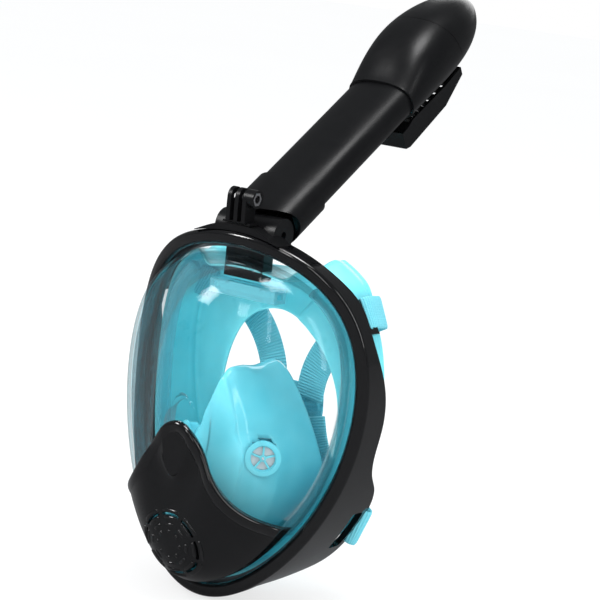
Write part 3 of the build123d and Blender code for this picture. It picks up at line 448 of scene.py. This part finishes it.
def make_pocket():
    """Nose and mouth pocket: a narrow bridge above a round belly, closed in front."""
    ys = np.array([p[0] for p in POCKET])[::-1]
    zc = np.array([p[1] for p in POCKET])[::-1]
    aw = np.array([p[2] for p in POCKET])[::-1]
    bh = np.array([p[3] for p in POCKET])[::-1]
    count, rows = 120, []
    phi = np.linspace(0, 2 * math.pi, count, endpoint=False)
    c, s = np.cos(phi), np.sin(phi)
    # the front closes like a dome: the depth follows a quarter turn
    depth = np.concatenate([np.linspace(57, 2.0, 42), 2.0 - 5.6 * np.sin(np.linspace(0, math.pi / 2, 18)[1:])])
    shrink = np.concatenate([np.ones(42), np.cos(np.linspace(0, math.pi / 2, 18)[1:])])
    for y, k in zip(depth, shrink):
        yy = max(y, 2.0)
        a = np.interp(yy, ys, aw)
        b = np.interp(yy, ys, bh)
        z0 = np.interp(yy, ys, zc)
        up = np.clip(s, 0, 1)
        fore = 1 - smooth((yy - 4) / 40.0)
        x = a * k * np.sign(c) * np.abs(c) ** 0.92 * (1 - (0.52 + 0.16 * fore) * up ** 0.9)
        z = z0 + b * k * np.sign(s) * np.abs(s) ** 0.92 + 7.0 * fore * up ** 2 * k
        # a crease on each side of the nostrils
        x = x * (1 - 0.10 * np.exp(-((s - 0.30) / 0.12) ** 2) * (1 - smooth((yy - 20) / 25)))
        rows.append(np.stack([x, np.full(count, float(y)), z], 1))
    pts = np.stack(rows, 0)
    m, n = len(rows), count
    faces = []
    grid = pts.reshape(-1, 3)

    def blocked(p):
        for sign in (1, -1):
            d = np.array([VALVE_DIR[0] * sign, VALVE_DIR[1], 0])
            at = np.array([VALVE_AT[0] * sign, VALVE_AT[1], VALVE_AT[2]])
            r = p - at
            h = r @ d
            if -12 < h < 12 and np.linalg.norm(r - h * d) < 10.2:
                return True
        r = p - np.array([0, 0, 44.0])
        return r[1] < 22 and math.hypot(r[0], r[2]) < 11.6
    for i in range(m - 1):
        for j in range(n):
            q = (i * n + j, (i + 1) * n + j, (i + 1) * n + (j + 1) % n, i * n + (j + 1) % n)
            if not blocked(grid[list(q)].mean(0)):
                faces.append(q)
    ob = to_object("nose_pocket_soft", grid, faces)
    sol = ob.modifiers.new("wall", "SOLIDIFY")
    sol.thickness = 0.0016
    sol.offset = 0.0
    return finish_piece(ob, TEAL_GLOSS, "mask", ["nose_pocket"])


def make_duct(name, sign, node):
    """Thin-walled air channel beside the window."""
    a0, a1 = 0.53, 2.31          # from beside the manifold down to the chin
    if sign < 0:
        a0, a1 = 2 * math.pi - 0.53, 2 * math.pi - 2.31
    prof = oval(3.7, 5.0, 3.4, 28)
    ob = ring_sweep(name, -19.4, 15.2, prof, 120, a0, a1)
    return finish_piece(ob, CLEAR_TEAL, "mask", [node])


def disc_profile(radius, y0, thick, cone, stub, stub_r=0.8, rib=0.0):
    """Flap with a thin rim, a slight cone and a stub behind it."""
    out = [(y0, 0.0)]
    for t in np.linspace(0.1, 1, 12):
        out.append((y0 + cone * t ** 2 - rib * math.sin(t * math.pi * 3) * 0.5, radius * t))
    out.append((y0 + cone + thick * 0.45, radius + 0.25 * thick))
    for t in np.linspace(1, 0.16, 12):
        out.append((y0 + thick + cone * t ** 2 - rib * math.sin(t * math.pi * 3) * 0.5, radius * t - 0.02))
    out += [(y0 + thick + 0.3, stub_r), (y0 + stub - 1.0, stub_r), (y0 + stub - 0.9, stub_r * 0.8), (y0 + stub, 0.25), (y0 + stub, 0.0)]
    return out


def make_flaps():
    for sign, side in ((1, "left"), (-1, "right")):
        d = np.array([VALVE_DIR[0] * sign, VALVE_DIR[1], 0])
        at = np.array([VALVE_AT[0] * sign, VALVE_AT[1], VALVE_AT[2]])
        ob = lathe(f"inhale_flap_{side}_soft", at, d, disc_profile(8.1, 0.6, 0.6, 0.0, 5.1))
        finish_piece(ob, FLAP, f"inhale_flap_{side[0]}", [f"inhale_flap_{side}"])
    ob = lathe("drain_flap_soft", (0, -22.45 - 0.9, 44.0), (0, 1, 0), disc_profile(9.9, 0.0, 0.8, 0.0, 4.8))
    finish_piece(ob, FLAP, "drain", ["drain_flap"])


def ribbon(name, line, width, thick, nodes, taper=None):
    """Flat webbing along a list of (point, width direction), with soft selvedges; UVs are in mm."""
    pts = np.array([p for p, _ in line], float)
    wid = np.array([w for _, w in line], float)
    # resample evenly
    seg = np.r_[0, np.cumsum(np.linalg.norm(np.diff(pts, axis=0), axis=1))]
    total = seg[-1]
    m = int(total / 1.6) + 2
    u = np.linspace(0, total, m)
    pts = np.stack([np.interp(u, seg, pts[:, k]) for k in range(3)], 1)
    wid = np.stack([np.interp(u, seg, wid[:, k]) for k in range(3)], 1)
    for _ in range(3):
        pts[1:-1] = (pts[:-2] + 2 * pts[1:-1] + pts[2:]) / 4
        wid[1:-1] = (wid[:-2] + 2 * wid[1:-1] + wid[2:]) / 4
    wid /= np.linalg.norm(wid, axis=1)[:, None]
    tan = np.gradient(pts, axis=0)
    tan /= np.linalg.norm(tan, axis=1)[:, None]
    nor = np.cross(tan, wid)
    nor /= np.linalg.norm(nor, axis=1)[:, None]
    wid = np.cross(nor, tan)
    half = []
    cross = 15
    for k in range(cross):
        f = -1 + 2 * k / (cross - 1)
        h = thick / 2 * (1 - 0.75 * abs(f) ** 8) * (1.10 if 0.80 < abs(f) < 0.97 else 1.0)
        half.append((f, h))
    loop = half + [(f, -h) for f, h in reversed(half)]
    verts, uvs = [], []
    for i in range(m):
        w = width / 2 * (taper(u[i] / total) if taper else 1.0)
        rib = 1 + 0.10 * math.sin(2 * math.pi * u[i] / 3.8)
        for f, h in loop:
            verts.append(pts[i] + wid[i] * w * f + nor[i] * h * rib)
            uvs.append((f * w, u[i]))
    faces = grid_faces(m, len(loop), False, True)
    faces += [tuple(range(len(loop))), tuple((m - 1) * len(loop) + j for j in range(len(loop)))]
    ob = to_object(name, verts, faces, uvs)
    return finish_piece(ob, WEB, "mask", nodes)


def upper_depth(x):
    return 79.0 - 36.0 * (max(abs(x) - 61.5, 0.0) / 17.0) ** 2


def lower_depth(x):
    return 79.0 - 11.0 * (max(abs(x) - 53.0, 0.0) / 12.0) ** 2


def strap_line(centre, depth, lift=0.0):
    out = []
    for i, (x, z) in enumerate(centre):
        xa, za = centre[max(i - 1, 0)]
        xb, zb = centre[min(i + 1, len(centre) - 1)]
        l = math.hypot(xb - xa, zb - za)
        out.append(((x, depth(x) + 1.0 + lift, z), (-(zb - za) / l, 0.0, (xb - xa) / l)))
    return out


def mirror_line(line):
    return [((-p[0], p[1], p[2]), (-w[0], w[1], w[2])) for p, w in line]


def fine(points, n=60):
    """Evenly spaced points on a smooth curve through the given ones."""
    p = np.array(points, float)
    t = np.r_[0, np.cumsum(np.linalg.norm(np.diff(p, axis=0), axis=1))]
    tt = np.linspace(0, t[-1], n)
    out = np.zeros((n, p.shape[1]))
    d = np.gradient(p, t, axis=0)
    for k, x in enumerate(tt):
        i = min(np.searchsorted(t, x, "right") - 1, len(t) - 2)
        h = t[i + 1] - t[i]
        s = (x - t[i]) / h
        out[k] = ((2 * s ** 3 - 3 * s ** 2 + 1) * p[i] + (s ** 3 - 2 * s ** 2 + s) * h * d[i]
                  + (-2 * s ** 3 + 3 * s ** 2) * p[i + 1] + (s ** 3 - s ** 2) * h * d[i + 1])
    return [tuple(v) for v in out]


def make_straps():
    upper = [(75.0, 197.0), (60.0, 190.0), (42.0, 178.0), (26.0, 161.0), (17.0, 142.0), (14.5, 124.0)]
    lower = [(15.5, 112.0), (19.5, 97.0), (27.5, 80.0), (38.0, 66.5), (48.0, 58.6), (60.0, 53.4)]
    up = strap_line(fine(upper), upper_depth)
    w0 = up[0][1]
    # end turned round the bar of the lug and laid back on the strap
    lug = [((76.9, 44.0, 198.2), w0), ((76.3, 41.2, 197.8), w0), ((74.8, 40.6, 196.8), w0), ((73.2, 42.4, 195.9), w0),
           ((71.6, 47.0, 194.6), w0), ((66.5, 58.0, 191.6), w0), ((58.5, 71.5, 187.6), w0), ((46.0, 76.6, 180.0), w0)]
    tail = lug[::-1]
    upper_line = tail + [((77.0, 48.0, 198.4), w0)] + up
    low = strap_line(fine(lower), lower_depth)
    w1 = low[-1][1]
    bar = [((64.0, 70.6, 52.2), w1), ((67.6, 69.6, 51.0), w1), ((70.8, 70.6, 50.0), w1), ((72.4, 73.4, 49.2), w1),
           ((71.2, 76.2, 49.6), w1), ((66.0, 78.4, 51.4), w1), ((56.0, 81.6, 55.4), w1), ((44.0, 82.4, 61.6), w1)]
    lower_line = low[:-6] + bar
    for sign, side in ((1, "left"), (-1, "right")):
        ul = upper_line if sign > 0 else mirror_line(upper_line)
        ll = lower_line if sign > 0 else mirror_line(lower_line)
        ribbon(f"upper_strap_{side}_web", ul, 21.5, 1.7, [f"upper_strap_{side}"])
        ribbon(f"lower_strap_{side}_web", ll, 27.0, 1.8, [f"lower_strap_{side}"])


def make_pad():
    """Quilted pad where the straps meet: two stitched skins blown apart by a cloth run."""
    nx, nz = 44, 32
    w, h = 49.0, 33.0
    verts, faces = [], []
    pinned = []

    def corner(x, z):
        """Rounded outline from a square grid."""
        u, v = x / (w / 2), z / (h / 2)
        k = 1 - 0.085 * (u * u) * (v * v)
        return x * k, z * k
    for layer in (0, 1):
        for i in range(nx + 1):
            for j in range(nz + 1):
                x, z = corner(-w / 2 + w * i / nx, -h / 2 + h * j / nz)
                edge = i in (0, nx) or j in (0, nz)
                y = 83.9 + (0.0 if edge else (0.3 if layer else -0.3))
                verts.append((x, y, 117.0 + z))
                # border stitch and two quilting lines
                stitch = edge or i in (3, nx - 3) and 3 <= j <= nz - 3 or j in (3, nz - 3) and 3 <= i <= nx - 3
                stitch = stitch or (i in (16, 28) and 3 <= j <= nz - 3)
                if stitch:
                    pinned.append(len(verts) - 1)
    base = (nx + 1) * (nz + 1)
    for layer in (0, 1):
        for i in range(nx):
            for j in range(nz):
                a = layer * base + i * (nz + 1) + j
                q = (a, a + nz + 1, a + nz + 2, a + 1)
                faces.append(q if layer else q[::-1])
    ob = to_object("head_pad_soft", verts, faces)
    bm = bmesh.new()
    bm.from_mesh(ob.data)
    bmesh.ops.remove_doubles(bm, verts=[v for v in bm.verts if v.is_boundary], dist=1e-5)
    bmesh.ops.recalc_face_normals(bm, faces=bm.faces)
    bm.to_mesh(ob.data)
    bm.free()
    co = np.array([v.co[:] for v in ob.data.vertices])
    px = (co[:, 0] * 1000)
    pz = (co[:, 2] * 1000 - 117.0)
    pts = {(round(verts[i][0], 3), round(verts[i][2] - 117.0, 3)) for i in pinned}
    group = ob.vertex_groups.new(name="stitches")
    for k in range(len(co)):
        if (round(px[k], 3), round(pz[k], 3)) in pts:
            group.add([k], 1.0, "REPLACE")
    cl = ob.modifiers.new("cloth", "CLOTH")
    st = cl.settings
    st.quality = 6
    st.mass = 0.15
    st.tension_stiffness = st.compression_stiffness = 12.0
    st.shear_stiffness = 8.0
    st.bending_stiffness = 0.5
    st.air_damping = 4.0
    st.use_pressure = True
    st.uniform_pressure_force = 9.0
    st.shrink_min = -0.10
    st.vertex_group_mass = "stitches"
    st.effector_weights.gravity = 0.0
    cl.collision_settings.use_collision = False
    cl.point_cache.frame_start = 1
    cl.point_cache.frame_end = 22
    for f in range(1, 23):
        scene.frame_set(f)
    dg = bpy.context.evaluated_depsgraph_get()
    done = np.array([v.co[:] for v in ob.evaluated_get(dg).data.vertices])
    ob.modifiers.clear()
    scene.frame_set(1)
    rest = np.array([v.co[:] for v in ob.data.vertices])
    off = done[:, 1] - (83.9 - DATUM_Y) / 1000.0
    peak = max(abs(off).max(), 1e-6)
    off = off * min(1.0, 0.0021 / peak)
    done[:, 1] = (83.9 - DATUM_Y) / 1000.0 + off
    if not np.isfinite(done).all():
        done = rest
    for v, c in zip(ob.data.vertices, done):
        v.co = c
    sub = ob.modifiers.new("smooth", "SUBSURF")
    sub.levels = sub.render_levels = 1
    return finish_piece(ob, PAD, "mask", ["head_pad"])


def make_head_softs():
    rows = [(14.55, 23.4, 12.4, 0), (14.7, 23.9, 12.8, 0), (15.4, 24.05, 12.95, 0), (16.1, 23.9, 12.8, 0), (16.25, 23.4, 12.4, 0),
            (16.25, 22.6, 11.6, 0), (15.4, 22.3, 11.3, 0), (14.55, 22.6, 11.6, 0), (14.55, 23.4, 12.4, 0)]
    ob = tube_stack("tube_gasket_soft", rows, 2.7, 56, False)
    finish_piece(ob, SEAL, "snorkel", ["tube_gasket"])
    rows = []
    for t in np.linspace(0, math.pi / 2, 6):
        rows.append((170.0 + 1.6 * (1 - math.sin(t)), 15.0 - 1.6 * (1 - math.cos(math.pi / 2 - t)) - 0.0, 9.0 - 1.6 * (1 - math.cos(math.pi / 2 - t)), -6.0))
    rows = [(170.0, 11.5, 5.5, -6.0), (170.1, 13.4, 7.4, -6.0), (170.5, 14.3, 8.3, -6.0), (171.3, 14.8, 8.8, -6.0), (172.4, 15.0, 9.0, -6.0),
            (176.0, 14.9, 8.9, -6.0), (180.0, 14.95, 8.95, -6.0), (184.0, 14.9, 8.9, -6.0), (187.6, 15.0, 9.0, -6.0), (188.7, 14.8, 8.8, -6.0),
            (189.5, 14.3, 8.3, -6.0), (189.9, 13.4, 7.4, -6.0), (190.0, 11.5, 5.5, -6.0)]
    ob = tube_stack("float_body_foam", rows, 3.2, 56, True)
    finish_piece(ob, FOAM, "float", ["float_body"])
    prof = [(0.05, 1.85), (0.05, 8.6), (0.5, 9.2), (1.2, 9.4), (1.9, 9.2), (2.3, 8.4), (1.7, 7.2), (1.6, 5.0), (2.2, 3.6), (2.3, 2.2), (2.2, 1.85), (0.05, 1.85)]
    ob = lathe("float_seal_soft", on_tube(190.0, 0, -6.0), T, prof)
    finish_piece(ob, SEAL, "float", ["float_seal"])


def make_window_seal():
    prof = oval(3.1, 0.72, 2.6, 24)
    ob = ring_sweep("lens_seal_soft", -8.15, 5.0, prof, 220)
    finish_piece(ob, SEAL, "mask", ["lens_seal"])


WINDOW = [(4.0, 79.5, 228.2, 12.2), (-8.0, 71.0, 226.0, 14.0), (-20.0, 60.0, 219.0, 19.0), (-31.0, 46.0, 206.0, 28.0),
          (-38.5, 26.0, 176.0, 50.0), (-41.2, 8.0, 140.0, 90.0)]


COVER_LINE = [(0, 122.0), (7.0, 119.5), (14.5, 112.0), (22.0, 100.0), (30.0, 87.0), (39.0, 75.5), (49.0, 66.5),
              (60.5, 59.0)]


def front_of(node):
    """Reads the forward surface of a CAD node: depth in mm at (x, z), or None."""
    ob = NODES[node]
    bm = bmesh.new()
    bm.from_mesh(ob.data)
    from mathutils.bvhtree import BVHTree
    tree = BVHTree.FromBMesh(bm)
    bm.free()

    def depth(x, z):
        hit = tree.ray_cast(Vector((x / 1000, -0.4, z / 1000)), Vector((0, 1, 0)))
        return None if hit[0] is None else hit[0].y * 1000 + DATUM_Y
    return depth


def make_chin_trim():
    """Glossy rounded band along the cover's upper edge, and raised ribs round its vent slots."""
    depth = front_of("chin_cover")
    right = fine(COVER_LINE, 70)
    line = [(-x, z) for x, z in right[::-1]] + right[1:]
    line = np.array(line)
    for _ in range(4):
        line[1:-1] = (line[:-2] + 2 * line[1:-1] + line[2:]) / 4
    tan = np.gradient(line, axis=0)
    tan /= np.linalg.norm(tan, axis=1)[:, None]
    nor = np.stack([tan[:, 1], -tan[:, 0]], 1)       # towards the cover
    base = []
    for (x, z), (nx, nz) in zip(line, nor):
        row = []
        for q in (1.2, 3.2, 6.4):
            y = depth(x + nx * q, z + nz * q)
            row.append(y)
        base.append(row)
    base = np.array([[np.nan if v is None else v for v in row] for row in base], float)
    idx = np.arange(len(base))
    for k in range(3):
        ok = np.isfinite(base[:, k])
        base[:, k] = np.interp(idx, idx[ok], base[ok, k])
        for _ in range(6):
            base[1:-1, k] = (base[:-2, k] + 2 * base[1:-1, k] + base[2:, k]) / 4
    prof = [(-0.7, 2.4), (-0.75, 1.2), (-0.5, 0.1), (0.1, -0.8), (1.0, -1.3), (2.2, -1.45), (3.6, -1.2), (5.0, -0.7),
            (6.3, -0.1), (6.6, 0.6), (5.0, 1.2), (2.0, 1.8)]
    verts = []
    for (x, z), (nx, nz), row in zip(line, nor, base):
        for q, dy in prof:
            y = float(np.interp(q, [1.2, 3.2, 6.4], row))
            if q < 1.2:
                y = row[0] + (row[0] - row[1]) / 2.0 * (1.2 - q) * 0.7
            verts.append((x + nx * q, y + dy, z + nz * q))
    m = len(prof)
    faces = grid_faces(len(line), m, False, True) + [tuple(range(m)), tuple((len(line) - 1) * m + j for j in range(m))]
    ob = to_object("chin_cover_band", verts, faces)
    finish_piece(ob, GLOSS, "mask", [])
    k = 0
    for radius in (8.75, 13.25, 17.75, 22.3):
        for q in range(8):
            a0 = math.radians(22.5 + 45 * q) + 2.1 / radius
            a1 = math.radians(22.5 + 45 * (q + 1)) - 2.1 / radius
            steps = max(6, int((a1 - a0) * radius / 1.0))
            verts, ok = [], True
            for i in range(steps + 1):
                a = a0 + (a1 - a0) * i / steps
                fade = math.sin(math.pi * min(max(i / steps, 0.04), 0.96)) ** 0.4
                for j in range(8):
                    t = math.pi * j / 7
                    r = radius - 1.15 * math.cos(t)
                    x, z = r * math.cos(a), 41 + r * math.sin(a)
                    mid = depth(radius * math.cos(a), 41 + radius * math.sin(a))
                    if mid is None or mid > 5:
                        ok = False
                        break
                    verts.append((x, mid + 0.35 - 1.1 * math.sin(t) * fade, z))
                if not ok:
                    break
            if not ok:
                continue
            ob = to_object(f"chin_vent_rib_{k:02d}", verts, grid_faces(steps + 1, 8, False, True)
                           + [tuple(range(8)), tuple(steps * 8 + j for j in range(8))])
            finish_piece(ob, GLOSS, "mask", [])
            k += 1


make_chin_trim()
make_skirt()
make_pocket()
make_duct("air_duct_left_soft", 1, "air_duct_left")
make_duct("air_duct_right_soft", -1, "air_duct_right")
make_flaps()
make_straps()
make_pad()
make_head_softs()
make_window_seal()

# ---------------------------------------------------------------------------
# Hard parts keep their CAD shape
# ---------------------------------------------------------------------------
FINISH = {
    "front_bezel": (GLOSS, "gloss_black"), "rear_frame": (GLOSS, "gloss_black"), "lens": (LENS, "clear"),
    "forehead_manifold": (CLEAR_TEAL, "clear_teal"), "inhale_seat_left": (TEAL_GLOSS, "teal_silicone"),
    "inhale_seat_right": (TEAL_GLOSS, "teal_silicone"), "chin_valve_seat": (SATIN, "satin_black"),
    "chin_cover": (COVER, "satin_black"), "snorkel_socket": (SATIN, "satin_black"), "socket_screws": (STEEL, "steel"),
    "camera_mount": (SATIN, "satin_black"), "mount_nut": (STEEL, "steel"), "connector_sleeve": (SATIN, "satin_black"),
    "hinge_pins": (STEEL, "steel"), "snorkel_tube": (SATIN, "satin_black"), "head_lower_shell": (SATIN, "satin_black"),
    "head_cap": (SATIN, "satin_black"), "rear_grille": (SATIN, "satin_black"), "float_cage": (SATIN, "satin_black"),
    "float_rod": (STEEL, "steel"),
}
for name, (mat, slot) in FINISH.items():
    ob = NODES[name]
    ob.data.materials.clear()
    ob.data.materials.append(mat)
for name, ob in NODES.items():
    if name not in FINISH:
        ob.data.materials.clear()
        ob.data.materials.append(SEAL)

# ---------------------------------------------------------------------------
# Floor, light and camera
# ---------------------------------------------------------------------------
me = bpy.data.meshes.new("floor")
me.from_pydata([(-6, -6, -0.0005), (6, -6, -0.0005), (6, 6, -0.0005), (-6, 6, -0.0005)], [], [(0, 1, 2, 3)])
floor = bpy.data.objects.new("floor", me)
scene.collection.objects.link(floor)
fm = Mat("floor_paper", (0.86, 0.86, 0.86), rough=0.9, spec=0.1)
fm.color(fm.mix(fm.noise(2.0), (0.84, 0.84, 0.84), (0.88, 0.88, 0.88)))
glow = fm.nt.nodes.new("ShaderNodeEmission")
glow.inputs[1].default_value = 1.0
fm.link(fm.mix(fm.noise(1.5), (0.985, 0.985, 0.985), (1.0, 1.0, 1.0)), glow.inputs[0])
eye = fm.nt.nodes.new("ShaderNodeLightPath")
share = fm.math("MULTIPLY", eye.outputs["Is Camera Ray"], 0.72)
fmix = fm.nt.nodes.new("ShaderNodeMixShader")
fm.link(share, fmix.inputs[0])
fm.link(fm.b.outputs[0], fmix.inputs[1])
fm.link(glow.outputs[0], fmix.inputs[2])
shade = fm.nt.nodes.new("ShaderNodeEmission")       # what mirrors see of the floor
shade.inputs[1].default_value = 1.0
fm.link(fm.mix(fm.noise(1.2), (0.10, 0.10, 0.105), (0.14, 0.14, 0.145)), shade.inputs[0])
low = fm.nt.nodes.new("ShaderNodeMixShader")
fm.link(fm.math("MULTIPLY", eye.outputs["Is Glossy Ray"], 0.92), low.inputs[0])
fm.link(fmix.outputs[0], low.inputs[1])
fm.link(shade.outputs[0], low.inputs[2])
fm.link(low.outputs[0], fm.out.inputs["Surface"])
me.materials.append(fm.mat)

world = bpy.data.worlds.new("studio")
scene.world = world
world.use_nodes = True
nt = world.node_tree
nt.nodes.clear()
wout = nt.nodes.new("ShaderNodeOutputWorld")
seen = nt.nodes.new("ShaderNodeBackground")
seen.inputs[0].default_value = (1, 1, 1, 1)
seen.inputs[1].default_value = 1.0
felt = nt.nodes.new("ShaderNodeBackground")
felt.inputs[0].default_value = (0.95, 0.98, 1.0, 1)
path = nt.nodes.new("ShaderNodeLightPath")
dim = nt.nodes.new("ShaderNodeMapRange")          # mirrors see a darker room than matt surfaces do
dim.inputs["To Min"].default_value = 1.2
dim.inputs["To Max"].default_value = 0.16
nt.links.new(path.outputs["Is Glossy Ray"], dim.inputs["Value"])
nt.links.new(dim.outputs[0], felt.inputs[1])
wmix = nt.nodes.new("ShaderNodeMixShader")
nt.links.new(path.outputs["Is Camera Ray"], wmix.inputs[0])
nt.links.new(felt.outputs[0], wmix.inputs[1])
nt.links.new(seen.outputs[0], wmix.inputs[2])
nt.links.new(wmix.outputs[0], wout.inputs[0])


def area(name, at, look, size, power, size_y=None):
    li = bpy.data.lights.new(name, "AREA")
    li.energy = power
    li.shape = "RECTANGLE"
    li.size = size
    li.size_y = size_y or size
    ob = bpy.data.objects.new(name, li)
    scene.collection.objects.link(ob)
    ob.location = at
    d = Vector(look) - Vector(at)
    ob.rotation_euler = d.to_track_quat("-Z", "Y").to_euler()
    return ob


area("key", (-0.9, -1.3, 1.3), (0, 0, 0.15), 0.45, 19, 0.7)
area("fill_right", (1.7, -0.2, 0.8), (0, 0, 0.15), 0.22, 5, 1.2)
area("window", (0.25, -1.5, 1.25), (0, -0.05, 0.12), 0.3, 4, 0.4)
area("top", (0.3, -0.1, 1.6), (0, 0, 0.2), 0.6, 12, 0.5)
area("back", (-0.5, 1.6, 0.9), (0, 0, 0.2), 1.0, 6, 0.7)
area("strip", (0.95, -1.25, 0.95), (0, -0.1, 0.15), 0.10, 2.2, 0.9)

cam = bpy.data.cameras.new("photo")
cam.sensor_width = 36.0
cam.lens = 142.5575
cam.clip_start = 0.05
cam_ob = bpy.data.objects.new("photo", cam)
scene.collection.objects.link(cam_ob)
r = Vector((0.8146961, 0.5701333, 0.1059167))
u = Vector((-0.1880612, 0.0869880, 0.9782975))
b = Vector((0.5485465, -0.8169340, 0.1780888))
cam_ob.matrix_world = Matrix(((r.x, u.x, b.x, 0.8654815), (r.y, u.y, b.y, -1.3127486), (r.z, u.z, b.z, 0.4696923), (0, 0, 0, 1)))
scene.camera = cam_ob
scene.view_settings.view_transform = "Standard"
